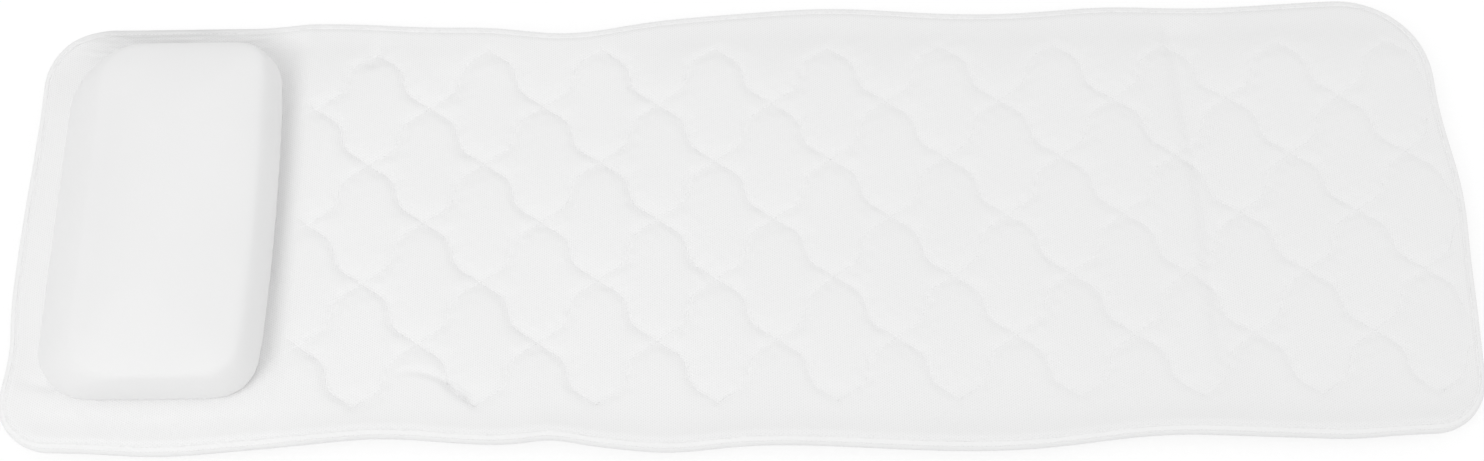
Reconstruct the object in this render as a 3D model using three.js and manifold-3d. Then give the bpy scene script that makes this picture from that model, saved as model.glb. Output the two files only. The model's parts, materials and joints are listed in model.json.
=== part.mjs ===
// A full-length bath pillow: a quilted spacer-mesh mat with a soft head pillow sewn to one end and
// suction cups beneath. Millimetres, +Z up. X runs along the mat with the head at -X, Y runs across it,
// and the origin lies under the middle of the mat on the plane of the suction-cup rims.
import * as THREE from "three";
import { mergeVertices } from "three/addons/utils/BufferGeometryUtils.js";
import Module from "manifold-3d";

const wasm = await Module();
wasm.setup();

// Mat outline
const MAT_LENGTH = 1250;
const MAT_WIDTH = 400;
const CORNERS = { headNear: 48, footNear: 52, footFar: 84, headFar: 50 };
const CORNER_STEPS = 5;
const EDGE_STEP = 40;
// Where a long edge swells out (+) or draws in (-): place along X, size there and spread along the edge.
const NEAR_EDGE_WAVES = [[-490, 4, 70], [-295, -9, 60], [-165, -7, 50], [190, 8, 100], [390, -6, 70]];
const FAR_EDGE_WAVES = [[-165, -15, 75], [70, 8, 110], [480, 8, 130]];

// Folds across the mat
const BACK_FOLD_X = -165;
const FOOT_FOLD_X = 392;

// Layers, from the underside up
const GAP = 0.3;
const BASE_LOW = 14.3;
const BASE_THICKNESS = 2;
const FILLING_THICKNESS = 3.7;
const QUILT_VALLEY = 22;
const QUILT_CROWN = 30;
const PILLOW_BED = 25;

// Quilting: rows of crossings across the width, joined by wavy diagonal lines of stitches
const STITCH_PITCH = 101.1;
const STITCH_ROW = 55.8;
const STITCH_ROWS = 6;
const STITCH_START_X = -326.7;
const STITCH_WAVE = 4.6;
const STITCH_WAVE_SHARPNESS = 0.25;
const PUFF_FULLNESS = 0.55;
const CELL_STEPS = 5;
const QUILT_FADE = { from: -390, to: -362 };
const BORDER = { flat: 26, full: 52 };

// Edge binding: a tape folded over all the layers
const TAPE = 1.2;
const TAPE_WIDTH = 10;

// Head pillow
const PILLOW_X = -498.5;
const PILLOW_HALF_X = 98;
const PILLOW_HALF_Y = 161;
const PILLOW_CORNER = 36;
const PILLOW_CORNER_STEPS = 6;
const PILLOW_WIDEST_Z = 50;
const PILLOW_SHOULDER_Z = 79;
const PILLOW_CROWN_Z = 88;
// How far each side comes in up to the shoulder. Three sides are walls, drawn in at the seam; the head side
// is a slope, straight for its own share of the way and rounded for the rest.
const PILLOW_SHOULDER = { head: 50, foot: 22, near: 14, far: 14 };
const PILLOW_DRAWN_IN = { head: 0, foot: 6, near: 4, far: 4 };
const PILLOW_HEAD_SLOPE = 0.45;
const PILLOW_CLOTH = 1.5;
const PILLOW_BASE_CLOTH = 1.2;
// Where the skin's rings lie: shares of the way up to the widest line, degrees round the shoulder, and
// shares of the way in from the shoulder to the middle of the crown.
const PILLOW_SIDE_RINGS = [0, 0.45, 1];
const PILLOW_SHOULDER_RINGS = [35, 60, 80];
const PILLOW_CROWN_RINGS = [0.1, 0.4, 0.8];

// Suction cups: rows along X, two cups near the edges or one in the middle, in turn
const CUP_SIDES = 12;
const CUP_Y = 148;
const CUP_ROWS = {
  back: [[-572, 2], [-426, 1], [-280, 2]],
  seat: [[-100, 1], [42, 2], [184, 1], [326, 2]],
  foot: [[488, 1], [572, 2]],
};
// Cup section, radius and height: out inside the bell to the rim, then up outside it to the button head.
const CUP_INSIDE = [[0, 5.6], [9, 4.8], [20, 0]];
const CUP_OUTSIDE = [
  [22, 0], [21.6, 1.2], [17, 4.6], [10, 7.4], [3.4, 8.8], [3.4, 10.9], [6.4, 11], [6.2, 12.8], [0, 13.7],
];
const PATCH_SIDES = 10;
// Patch section: a shallow dish with a hole for the cup's neck, sewn to the base panel round its rim.
const PATCH_SECTION = [[4, 9.2], [9, 9.2], [25, 12.8], [25, 14], [19, 14], [8.6, 10.5], [4, 10.5]];

const FILLING_LOW = BASE_LOW + BASE_THICKNESS + GAP;
const QUILT_LOW = FILLING_LOW + FILLING_THICKNESS + GAP;
const LAYER_INSET = TAPE + GAP;
const PILLOW_LOW = PILLOW_BED + GAP;

const SECTIONS = {
  back: [-MAT_LENGTH, BACK_FOLD_X - GAP],
  seat: [BACK_FOLD_X + GAP, FOOT_FOLD_X - GAP],
  foot: [FOOT_FOLD_X + GAP, MAT_LENGTH],
};

const MESH_WHITE = { color: 0xececee, roughness: 0.9, metalness: 0 };
const TAPE_WHITE = { color: 0xf0f0f0, roughness: 0.8, metalness: 0 };
const PILLOW_WHITE = { color: 0xededec, roughness: 0.85, metalness: 0 };
const FOAM_CREAM = { color: 0xefe9d2, roughness: 0.95, metalness: 0 };
const CLEAR_PVC = { color: 0xdfe6ea, roughness: 0.25, metalness: 0 };

const group = new THREE.Group();

function addPart(name, geometry, look) {
  const part = new THREE.Mesh(geometry, new THREE.MeshStandardMaterial(look));
  part.name = name;
  group.add(part);
  return part;
}

// Solids from closed geometry and back again, for joins and cuts

function toSolid(geometry) {
  const plain = geometry.clone();
  plain.deleteAttribute("normal");
  plain.deleteAttribute("uv");
  const merged = mergeVertices(plain, 1e-4);
  const vertProperties = new Float32Array(merged.attributes.position.array);
  const triVerts = new Uint32Array(merged.index.array);
  return new wasm.Manifold(new wasm.Mesh({ numProp: 3, vertProperties, triVerts }));
}

function toGeometry(solid) {
  const mesh = solid.getMesh();
  const geometry = new THREE.BufferGeometry();
  geometry.setAttribute("position", new THREE.BufferAttribute(new Float32Array(mesh.vertProperties), 3));
  geometry.setIndex(Array.from(mesh.triVerts));
  return geometry;
}

function indexed(points, triangles) {
  const geometry = new THREE.BufferGeometry();
  geometry.setAttribute("position", new THREE.Float32BufferAttribute(points.flat(), 3));
  geometry.setIndex(triangles.flat());
  return geometry;
}

function sectionBlock([xLow, xHigh], [yLow, yHigh] = [-MAT_WIDTH, MAT_WIDTH]) {
  const height = 2 * PILLOW_CROWN_Z;
  const block = new THREE.BoxGeometry(xHigh - xLow, yHigh - yLow, height);
  return toSolid(block.translate((xLow + xHigh) / 2, (yLow + yHigh) / 2, 0));
}

// Mat outline and its layers

function halfWidth(x, waves) {
  const wave = ([place, size, spread]) => size * Math.exp(-(((x - place) / spread) ** 2));
  return MAT_WIDTH / 2 + waves.reduce((sum, each) => sum + wave(each), 0);
}

const nearEdge = (x) => -halfWidth(x, NEAR_EDGE_WAVES);
const farEdge = (x) => halfWidth(x, FAR_EDGE_WAVES);

function edgePoints(xFrom, xTo, edge) {
  const steps = Math.round(Math.abs(xTo - xFrom) / EDGE_STEP);
  const along = (k) => xFrom + ((xTo - xFrom) * k) / steps;
  return Array.from({ length: steps }, (_, k) => new THREE.Vector2(along(k), edge(along(k))));
}

function cornerPoints(x, y, radius, startTurn) {
  const angle = (k) => Math.PI * (startTurn + k / CORNER_STEPS / 2);
  const point = (k) => new THREE.Vector2(x + radius * Math.cos(angle(k)), y + radius * Math.sin(angle(k)));
  return Array.from({ length: CORNER_STEPS }, (_, k) => point(k));
}

function matOutline() {
  const { headNear, footNear, footFar, headFar } = CORNERS;
  const end = MAT_LENGTH / 2;
  return [
    ...edgePoints(headNear - end, end - footNear, nearEdge),
    ...cornerPoints(end - footNear, nearEdge(end - footNear) + footNear, footNear, -0.5),
    ...cornerPoints(end - footFar, farEdge(end - footFar) - footFar, footFar, 0),
    ...edgePoints(end - footFar, headFar - end, farEdge),
    ...cornerPoints(headFar - end, farEdge(headFar - end) - headFar, headFar, 0.5),
    ...cornerPoints(headNear - end, nearEdge(headNear - end) + headNear, headNear, 1),
  ];
}

const OUTLINE = matOutline();

// Each point of a closed outline moved inwards, square to the line between its neighbours.
function insetOutline(points, inset) {
  return points.map((point, k) => {
    const before = points[(k + points.length - 1) % points.length];
    const after = points[(k + 1) % points.length];
    const along = after.clone().sub(before).normalize();
    return new THREE.Vector2(point.x - along.y * inset, point.y + along.x * inset);
  });
}

function sheet(points, low, high) {
  const flat = new THREE.ExtrudeGeometry(new THREE.Shape(points), { depth: high - low, bevelEnabled: false });
  return toSolid(flat.translate(0, 0, low));
}

function matLayer(low, high) {
  return sheet(insetOutline(OUTLINE, LAYER_INSET), low, high);
}

// Distance in from the finished edge, measured as on a rounded rectangle.
function edgeDistance(x, y) {
  const far = y > 0;
  const foot = x > 0;
  const radius = foot ? (far ? CORNERS.footFar : CORNERS.footNear) : far ? CORNERS.headFar : CORNERS.headNear;
  const pastX = Math.abs(x) - MAT_LENGTH / 2 + radius;
  const pastY = far ? y - farEdge(x) + radius : nearEdge(x) - y + radius;
  const past = pastX > 0 && pastY > 0 ? Math.hypot(pastX, pastY) : Math.max(pastX, pastY);
  return radius - past;
}

// Quilted top: lattice steps u (up and right) and v (down and right) count from the first near crossing.
// Whole numbers of u or v lie on the stitch lines, which swing to either side of a straight diagonal.

const { smoothstep } = THREE.MathUtils;
const EDGE_LENGTH = Math.hypot(STITCH_PITCH / 2, STITCH_ROW);
const SWING = { x: STITCH_ROW / EDGE_LENGTH, y: STITCH_PITCH / 2 / EDGE_LENGTH };

function stitchWave(t) {
  return STITCH_WAVE * (Math.sin(2 * Math.PI * t) - STITCH_WAVE_SHARPNESS * Math.sin(4 * Math.PI * t));
}

function latticePoint(u, v) {
  const x = STITCH_START_X + ((u + v) * STITCH_PITCH) / 2;
  const y = (u - v - STITCH_ROWS / 2) * STITCH_ROW;
  return [x + (stitchWave(u) + stitchWave(v)) * SWING.x, y + (stitchWave(v) - stitchWave(u)) * SWING.y];
}

const puff = (t) => Math.max(0, Math.sin(Math.PI * t)) ** PUFF_FULLNESS;

// Share of the full crown at a lattice point: 0 on a stitch line, 1 on the open border past the last row.
function quiltRise(u, v, row) {
  const inU = u - Math.floor(u);
  const inV = v - Math.floor(v);
  const rise = (fromU, fromV) => [puff(fromU / 2), puff(fromV / 2)];
  const [a, b] = row <= 0 ? rise(1 - inU, inV) : rise(inU, 1 - inV);
  if (row < -1 || row > STITCH_ROWS + 1) return 1;
  if (row < 0 || row > STITCH_ROWS) return 1 - (1 - a) * (1 - b);
  if (row === 0 || row === STITCH_ROWS) return a * b;
  return puff(inU) * puff(inV);
}

function quiltHeight(u, v, row, x, y) {
  const puffed = QUILT_VALLEY + (QUILT_CROWN - QUILT_VALLEY) * quiltRise(u, v, row);
  const bedded = PILLOW_BED + (puffed - PILLOW_BED) * smoothstep(x, QUILT_FADE.from, QUILT_FADE.to);
  const border = smoothstep(edgeDistance(x, y), BORDER.flat, BORDER.full);
  return QUILT_VALLEY + (bedded - QUILT_VALLEY) * border;
}

// One deep slab that covers the mat: the quilted face, its grid laid flat far beneath, and a wall round both.
function quiltedSlab() {
  const tops = [];
  const places = new Map();
  const triangles = [];
  const vertex = (i, j, row) => {
    const key = `${i},${j}`;
    if (!places.has(key)) {
      const u = i / CELL_STEPS;
      const v = j / CELL_STEPS;
      const [x, y] = latticePoint(u, v);
      places.set(key, tops.length);
      tops.push([x, y, quiltHeight(u, v, row, x, y)]);
    }
    return places.get(key);
  };
  const cell = (u, v) => {
    const row = u - v;
    for (let i = 0; i < CELL_STEPS; i += 1) {
      for (let j = 0; j < CELL_STEPS; j += 1) {
        const corner = (di, dj) => vertex(u * CELL_STEPS + i + di, v * CELL_STEPS + j + dj, row);
        const [left, top, right, bottom] = [corner(0, 0), corner(1, 0), corner(1, 1), corner(0, 1)];
        triangles.push([left, bottom, right], [left, right, top]);
      }
    }
  };
  const reach = MAT_LENGTH / 2 + STITCH_PITCH;
  for (let row = -1; row <= STITCH_ROWS + 1; row += 1) {
    for (let v = -STITCH_ROWS * 3; v < STITCH_ROWS * 5; v += 1) {
      const [x] = latticePoint(v + row + 0.5, v + 0.5);
      if (Math.abs(x) < reach) cell(v + row, v);
    }
  }
  return toSolid(walled(tops, triangles, BASE_LOW));
}

function walled(tops, triangles, low) {
  const count = tops.length;
  const bottoms = tops.map(([x, y]) => [x, y, low]);
  const edges = new Set(triangles.flatMap(([a, b, c]) => [`${a},${b}`, `${b},${c}`, `${c},${a}`]));
  const faces = [...triangles, ...triangles.map(([a, b, c]) => [a + count, c + count, b + count])];
  for (const edge of edges) {
    const [a, b] = edge.split(",").map(Number);
    if (!edges.has(`${b},${a}`)) faces.push([b, a, a + count], [b, a + count, b + count]);
  }
  return indexed([...tops, ...bottoms], faces);
}

// Edge binding: the folded tape's section carried round the outline, then cut to lengths at the folds

function bindingRing() {
  const low = BASE_LOW - GAP - TAPE;
  const high = QUILT_VALLEY + GAP + TAPE;
  const section = [
    [TAPE_WIDTH, low], [TAPE, low], [0, low + TAPE], [0, high - TAPE], [TAPE, high], [TAPE_WIDTH, high],
    [TAPE_WIDTH, high - TAPE], [TAPE, high - TAPE], [TAPE, low + TAPE], [TAPE_WIDTH, low + TAPE],
  ];
  const rings = section.map(([inset, z]) => insetOutline(OUTLINE, inset).map(({ x, y }) => [x, y, z]));
  return toSolid(skinOver(rings, true));
}

// Skin between rings of equal point count. A closed skin joins the last ring to the first.
function skinOver(rings, closed) {
  const count = rings[0].length;
  const faces = [];
  const bands = closed ? rings.length : rings.length - 1;
  for (let k = 0; k < bands; k += 1) {
    const here = k * count;
    const there = ((k + 1) % rings.length) * count;
    for (let j = 0; j < count; j += 1) {
      const next = (j + 1) % count;
      faces.push([here + j, here + next, there + next], [here + j, there + next, there + j]);
    }
  }
  return indexed(rings.flat(), faces);
}

// Head pillow: rings round its middle that swell above the seam, round over at the shoulder and crown

// Rounded rectangle round the pillow, with how far each side lies in from the pillow's box.
function pillowRing({ head, foot, near, far }, z) {
  const tightest = Math.min(head, foot, near, far);
  const radius = Math.max(PILLOW_CORNER - tightest, PILLOW_CORNER / 4);
  const reachX = { 1: PILLOW_HALF_X - foot - radius, "-1": -PILLOW_HALF_X + head + radius };
  const reachY = { 1: PILLOW_HALF_Y - far - radius, "-1": -PILLOW_HALF_Y + near + radius };
  const ring = [];
  for (let corner = 0; corner < 4; corner += 1) {
    const signX = corner === 0 || corner === 3 ? 1 : -1;
    const signY = corner < 2 ? 1 : -1;
    for (let k = 0; k <= PILLOW_CORNER_STEPS; k += 1) {
      const angle = (Math.PI / 2) * (corner + k / PILLOW_CORNER_STEPS);
      const x = PILLOW_X + reachX[signX] + radius * Math.cos(angle);
      ring.push([x, reachY[signY] + radius * Math.sin(angle), z]);
    }
  }
  return ring;
}

function everySide(inset) {
  const sides = Object.keys(PILLOW_SHOULDER).map((name) => [name, inset(PILLOW_SHOULDER[name], PILLOW_DRAWN_IN[name])]);
  return Object.fromEntries(sides);
}

// How far the head slope has come in at a height, on a skin set in by the cloth's thickness.
function headSlope(z, setIn) {
  const up = (z - PILLOW_LOW) / (PILLOW_SHOULDER_Z - setIn - PILLOW_LOW);
  const rounded = 1 - Math.sqrt(1 - THREE.MathUtils.clamp(up, 0, 1) ** 2);
  return setIn + PILLOW_SHOULDER.head * (PILLOW_HEAD_SLOPE * up + (1 - PILLOW_HEAD_SLOPE) * rounded);
}

// Rings of the pillow's skin from the seam to the crown, for a skin set in by the cloth's thickness.
function pillowRings(setIn, low) {
  const side = (share) => {
    const z = low + (PILLOW_WIDEST_Z - low) * share;
    const walls = everySide((_, drawnIn) => setIn + drawnIn * (1 - share) ** 2);
    return pillowRing({ ...walls, head: headSlope(z, setIn) }, z);
  };
  const shoulder = (degrees) => {
    const angle = THREE.MathUtils.degToRad(degrees);
    const z = PILLOW_WIDEST_Z + (PILLOW_SHOULDER_Z - setIn - PILLOW_WIDEST_Z) * Math.sin(angle);
    const walls = everySide((comesIn) => setIn + comesIn * (1 - Math.cos(angle)));
    return pillowRing({ ...walls, head: headSlope(z, setIn) }, z);
  };
  const crown = (share) => {
    const rise = (PILLOW_CROWN_Z - PILLOW_SHOULDER_Z) * (1 - (1 - share) ** 2);
    const sides = everySide((comesIn) => setIn + comesIn + (PILLOW_HALF_X - comesIn) * share);
    return pillowRing(sides, PILLOW_SHOULDER_Z - setIn + rise);
  };
  return [
    ...PILLOW_SIDE_RINGS.map(side), ...PILLOW_SHOULDER_RINGS.map(shoulder), ...PILLOW_CROWN_RINGS.map(crown),
  ];
}

function capped(rings, capFirst, capLast) {
  const skin = skinOver(rings, false);
  const count = rings[0].length;
  const faces = Array.from(skin.index.array);
  const fan = (start, turn) => {
    for (let k = 1; k < count - 1; k += 1) {
      const pair = turn ? [start + k + 1, start + k] : [start + k, start + k + 1];
      faces.push(start, ...pair);
    }
  };
  if (capFirst) fan(0, true);
  if (capLast) fan((rings.length - 1) * count, false);
  return indexed(rings.flat(), faces);
}

function pillowCover() {
  const solid = capped(pillowRings(0, PILLOW_LOW), true, true);
  const hollow = capped(pillowRings(PILLOW_CLOTH, PILLOW_LOW - PILLOW_CLOTH), true, true);
  return toGeometry(toSolid(solid).subtract(toSolid(hollow)));
}

function pillowFoam() {
  return capped(pillowRings(PILLOW_CLOTH + GAP, PILLOW_LOW + PILLOW_BASE_CLOTH + GAP), true, true);
}

function pillowBase() {
  const inside = everySide((_, drawnIn) => drawnIn + PILLOW_CLOTH + GAP);
  const ring = pillowRing({ ...inside, head: inside.head + PILLOW_BASE_CLOTH }, 0);
  const points = ring.map(([x, y]) => new THREE.Vector2(x, y));
  return toGeometry(sheet(points, PILLOW_LOW, PILLOW_LOW + PILLOW_BASE_CLOTH));
}

// Suction cups and the patches that hold them

function turned(section, sides) {
  const points = section.map(([radius, z]) => new THREE.Vector2(radius, z));
  return new THREE.LatheGeometry(points, sides).rotateX(Math.PI / 2);
}

function suctionCup() {
  return turned([...CUP_INSIDE, ...CUP_OUTSIDE], CUP_SIDES);
}

function cupPatch() {
  return turned([...PATCH_SECTION, PATCH_SECTION[0]], PATCH_SIDES);
}

// Assembly

const quilted = quiltedSlab().intersect(matLayer(QUILT_LOW, PILLOW_CROWN_Z));
const filling = matLayer(FILLING_LOW, FILLING_LOW + FILLING_THICKNESS);
const base = matLayer(BASE_LOW, BASE_LOW + BASE_THICKNESS);
const binding = bindingRing();

for (const [name, span] of Object.entries(SECTIONS)) {
  const block = sectionBlock(span);
  addPart(`quilted_top_${name}`, toGeometry(quilted.intersect(block)), MESH_WHITE);
  addPart(`filling_${name}`, toGeometry(filling.intersect(block)), FOAM_CREAM);
  addPart(`base_panel_${name}`, toGeometry(base.intersect(block)), MESH_WHITE);
}

addPart("edge_binding_head", toGeometry(binding.intersect(sectionBlock(SECTIONS.back))), TAPE_WHITE);
addPart("edge_binding_foot", toGeometry(binding.intersect(sectionBlock(SECTIONS.foot))), TAPE_WHITE);
for (const [side, span] of [["near", [-MAT_WIDTH, 0]], ["far", [0, MAT_WIDTH]]]) {
  const length = binding.intersect(sectionBlock(SECTIONS.seat, span));
  addPart(`edge_binding_seat_${side}`, toGeometry(length), TAPE_WHITE);
}

addPart("pillow_cover", pillowCover(), PILLOW_WHITE);
addPart("pillow_foam", pillowFoam(), FOAM_CREAM);
addPart("pillow_base", pillowBase(), PILLOW_WHITE);

for (const [section, rows] of Object.entries(CUP_ROWS)) {
  const places = rows.flatMap(([x, count]) => (count === 1 ? [[x, 0]] : [[x, -CUP_Y], [x, CUP_Y]]));
  places.forEach(([x, y], k) => {
    addPart(`suction_cup_${section}_${k + 1}`, suctionCup(), CLEAR_PVC).position.set(x, y, 0);
    addPart(`cup_patch_${section}_${k + 1}`, cupPatch(), MESH_WHITE).position.set(x, y, 0);
  });
}

export default group;
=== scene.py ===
# %% [markdown]
# # A full-length bath pillow
# The object is a long quilted mat of white spacer mesh with a soft pillow sewn to its head end and
# suction cups beneath. The imported CAD model is the frame: it fixes every size, the two folds and the
# places of the cups. This script dresses that frame, piece by piece, in the same place and at the same
# size, so the first step is to load it and to read the boxes of its parts.

# %% Load the frame
import json
import math

import bpy
import numpy as np
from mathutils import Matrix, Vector


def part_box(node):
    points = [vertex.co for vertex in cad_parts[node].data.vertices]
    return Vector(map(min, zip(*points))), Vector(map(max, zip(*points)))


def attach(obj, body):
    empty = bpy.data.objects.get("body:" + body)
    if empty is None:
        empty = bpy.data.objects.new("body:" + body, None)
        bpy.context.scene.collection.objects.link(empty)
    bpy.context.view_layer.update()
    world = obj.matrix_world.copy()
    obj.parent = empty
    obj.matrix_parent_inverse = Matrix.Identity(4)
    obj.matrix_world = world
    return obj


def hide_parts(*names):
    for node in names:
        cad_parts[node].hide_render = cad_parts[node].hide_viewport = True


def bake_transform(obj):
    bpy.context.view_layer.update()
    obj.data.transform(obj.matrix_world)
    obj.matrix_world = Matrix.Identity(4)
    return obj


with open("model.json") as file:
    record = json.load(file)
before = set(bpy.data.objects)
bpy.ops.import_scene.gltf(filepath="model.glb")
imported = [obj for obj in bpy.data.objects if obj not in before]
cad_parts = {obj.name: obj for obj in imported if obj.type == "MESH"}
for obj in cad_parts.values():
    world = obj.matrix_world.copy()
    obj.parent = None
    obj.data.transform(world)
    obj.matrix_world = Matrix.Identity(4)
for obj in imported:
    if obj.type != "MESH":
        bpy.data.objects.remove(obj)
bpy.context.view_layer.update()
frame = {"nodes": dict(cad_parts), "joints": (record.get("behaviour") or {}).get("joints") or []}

# %% [markdown]
# ## Camera, light and floor
# The picture was taken from the near long side, high above the mat, with a lens close to the natural
# angle of view. The camera was fitted to the mat's outline and to the even rows of quilting. Two soft
# lamps model the quilting, one from the near left and a low one from the foot end. A pale surround, a
# little dimmer behind the object, keeps the white cloth open and bright. The floor bounces light as paper
# does, but to the camera it is white with a faint shadow.

# %% Camera
MM = 0.001
CAMERA_AZIMUTH = math.radians(-0.87)
CAMERA_ELEVATION = math.radians(66.34)
CAMERA_DISTANCE = 1.771
CAMERA_TARGET = Vector((-0.001, 0.0005, 0.0))
CAMERA_LENS = 48.93


def direction_from(azimuth, elevation):
    """Unit vector from the object towards a viewer or lamp; azimuth 0 is the near side."""
    flat = math.cos(elevation)
    return Vector((math.sin(azimuth) * flat, -math.cos(azimuth) * flat, math.sin(elevation)))


def add_object(name, data):
    """New object for this data, linked to the scene."""
    made = bpy.data.objects.new(name, data)
    bpy.context.scene.collection.objects.link(made)
    return made


def aim(item, target, towards, distance):
    """Sets a camera or lamp so far off its target and turns it to face the target."""
    item.location = target + towards * distance
    item.rotation_mode = "QUATERNION"
    item.rotation_quaternion = (-towards).to_track_quat("-Z", "Y")


camera = add_object("camera", bpy.data.cameras.new("camera"))
camera.data.lens = CAMERA_LENS
aim(camera, CAMERA_TARGET, direction_from(CAMERA_AZIMUTH, CAMERA_ELEVATION), CAMERA_DISTANCE)
bpy.context.scene.camera = camera
bpy.context.scene.view_settings.view_transform = "Standard"
print("camera at", [round(value, 3) for value in camera.location])

# %% Lamps
# Watts, azimuth, elevation and distance of each lamp, and its size as a share of its distance.
LAMPS = {"key_lamp": (18.0, -48.0, 57.0, 3.0), "side_lamp": (19.0, 85.0, 28.0, 5.0)}
LAMP_SIZE = 0.4

for name, (watts, azimuth, elevation, distance) in LAMPS.items():
    lamp = add_object(name, bpy.data.lights.new(name, "AREA"))
    lamp.data.shape = "SQUARE"
    lamp.data.size = LAMP_SIZE * distance
    lamp.data.energy = watts
    aim(lamp, Vector(), direction_from(math.radians(azimuth), math.radians(elevation)), distance)
print("lamps", LAMPS)

# %% Node helpers
def fill_inputs(tree, node, inputs):
    """Links or sets each input of a node, by its name or number."""
    for key, value in inputs.items():
        if isinstance(value, bpy.types.NodeSocket):
            tree.links.new(value, node.inputs[key])
        else:
            node.inputs[key].default_value = value


def add_node(tree, kind, inputs=None, **settings):
    """New shader or geometry node with its settings and inputs."""
    made = tree.nodes.new(kind)
    for name, value in settings.items():
        setattr(made, name, value)
    fill_inputs(tree, made, inputs or {})
    return made


def calculate(tree, operation, *values):
    """Result of one operation on plain numbers and on what other nodes give."""
    return add_node(tree, "ShaderNodeMath", dict(enumerate(values)), operation=operation).outputs[0]


def ramp(tree, value, low=0.0, high=1.0, start=0.0, stop=1.0, smooth=False):
    """Goes from start to stop while the value goes from low to high."""
    inputs = {"Value": value, "From Min": low, "From Max": high, "To Min": start, "To Max": stop}
    course = "SMOOTHSTEP" if smooth else "LINEAR"
    return add_node(tree, "ShaderNodeMapRange", inputs, interpolation_type=course).outputs[0]


def parts_of(tree, vector):
    """The X, Y and Z of a vector."""
    return add_node(tree, "ShaderNodeSeparateXYZ", {0: vector}).outputs


# %% Surround
HORIZON_LIGHT = 0.71
ZENITH_LIGHT = 0.86
# Share of the light that is left straight behind the object, where the surround is farthest off.
BACK_LIGHT = 0.88


def seen_directly(tree):
    """1 for what the camera sees itself, mirrored or through clear plastic; 0 for light on things."""
    rays = add_node(tree, "ShaderNodeLightPath").outputs
    seen = calculate(tree, "MAXIMUM", rays["Is Camera Ray"], rays["Is Glossy Ray"])
    return calculate(tree, "MAXIMUM", seen, rays["Is Transmission Ray"])


world = bpy.data.worlds.new("pale_surround")
bpy.context.scene.world = world
world.use_nodes = True
surround = world.node_tree
surround.nodes.clear()
heading = parts_of(surround, add_node(surround, "ShaderNodeTexCoord").outputs["Generated"])
upward = ramp(surround, heading["Z"], start=HORIZON_LIGHT, stop=ZENITH_LIGHT)
behind = ramp(surround, heading["Y"], start=1.0, stop=BACK_LIGHT)
falling = calculate(surround, "MULTIPLY", upward, behind)
strength = ramp(surround, seen_directly(surround), start=falling, stop=1.0)
sky = add_node(surround, "ShaderNodeBackground", {"Color": (1.0, 1.0, 1.0, 1.0), "Strength": strength})
add_node(surround, "ShaderNodeOutputWorld", {"Surface": sky.outputs[0]})
print("surround light", HORIZON_LIGHT, "to", ZENITH_LIGHT)

# %% Floor
FLOOR_HALF = 6.0
FLOOR_TONE = 0.88
FLOOR_SEEN_TONE = 0.22
FLOOR_GLOW = 0.8


def matt(tree, level):
    """Plain matt shader of a neutral tone."""
    return add_node(tree, "ShaderNodeBsdfDiffuse", {"Color": (level, level, level, 1.0)}).outputs[0]


def floor_material():
    """Sheet that lights things as paper does, and that the camera sees as white with a faint shadow."""
    material = bpy.data.materials.new("floor_paper")
    material.use_nodes = True
    tree = material.node_tree
    tree.nodes.clear()
    glow = add_node(tree, "ShaderNodeEmission", {"Strength": FLOOR_GLOW}).outputs[0]
    seen = add_node(tree, "ShaderNodeAddShader", {0: matt(tree, FLOOR_SEEN_TONE), 1: glow}).outputs[0]
    both = {0: seen_directly(tree), 1: matt(tree, FLOOR_TONE), 2: seen}
    mixed = add_node(tree, "ShaderNodeMixShader", both)
    add_node(tree, "ShaderNodeOutputMaterial", {"Surface": mixed.outputs[0]})
    return material


floor_mesh = bpy.data.meshes.new("floor")
floor_corners = [(x * FLOOR_HALF, y * FLOOR_HALF, 0.0) for x, y in ((-1, -1), (1, -1), (1, 1), (-1, 1))]
floor_mesh.from_pydata(floor_corners, [], [(0, 1, 2, 3)])
floor = add_object("floor", floor_mesh)
floor.data.materials.append(floor_material())
print("floor", 2 * FLOOR_HALF, "m square")

# %% [markdown]
# ## Shared surface effects
# Effects that come back on several cloths are node groups, each built once. The open knit is the regular
# grid of eyelets that makes spacer mesh breathe: three waves at sixty degrees add up to a pattern of round
# holes. The fibre group is the soft unevenness of any brushed or spun cloth: fine fuzz for the bump and
# slow clouds for the tone. The sewn line is the crisp groove that a row of stitches presses into thick
# cloth, finer than the mesh can carry. The last group is painted shade behind the pillow: its shadow on
# the border and the shade in the fine folds there, in streaks along the pillow over the cloth and the
# tape alike. All read the cloth's own place, kept in attributes, so the patterns stay on the cloth when
# the mat folds.

# %% Open knit group
KNIT_DIRECTIONS = (0, 60, 120)
# Sum of the waves at the rim of an eyelet, and where the eyelet is fully open.
EYELET = (0.6, 2.2)


def new_group(name, inputs, outputs, kind="ShaderNodeTree"):
    """Empty node group with named sockets; gives the tree, its input sockets and its last node."""
    tree = bpy.data.node_groups.new(name, kind)
    for in_out, sockets in (("INPUT", inputs), ("OUTPUT", outputs)):
        for label, value_kind in sockets.items():
            tree.interface.new_socket(label, in_out=in_out, socket_type=f"NodeSocket{value_kind}")
    return tree, add_node(tree, "NodeGroupInput").outputs, add_node(tree, "NodeGroupOutput")


def open_knit_group():
    """Eyelet mask of spacer mesh: 1 in a hole, 0 on the yarn between."""
    tree, start, end = new_group("open_knit", {"Place": "Vector", "Pitch": "Float"}, {"Eyelet": "Float"})
    turns = calculate(tree, "DIVIDE", math.tau, start["Pitch"])
    total = 0.0
    for angle in np.radians(KNIT_DIRECTIONS):
        across = {0: start["Place"], 1: (math.cos(angle), math.sin(angle), 0.0)}
        along = add_node(tree, "ShaderNodeVectorMath", across, operation="DOT_PRODUCT")
        phase = calculate(tree, "MULTIPLY", along.outputs["Value"], turns)
        total = calculate(tree, "ADD", total, calculate(tree, "COSINE", phase))
    fill_inputs(tree, end, {"Eyelet": ramp(tree, total, *EYELET, smooth=True)})
    return tree


OPEN_KNIT = open_knit_group()
print(OPEN_KNIT.name, len(OPEN_KNIT.nodes), "nodes")

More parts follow.
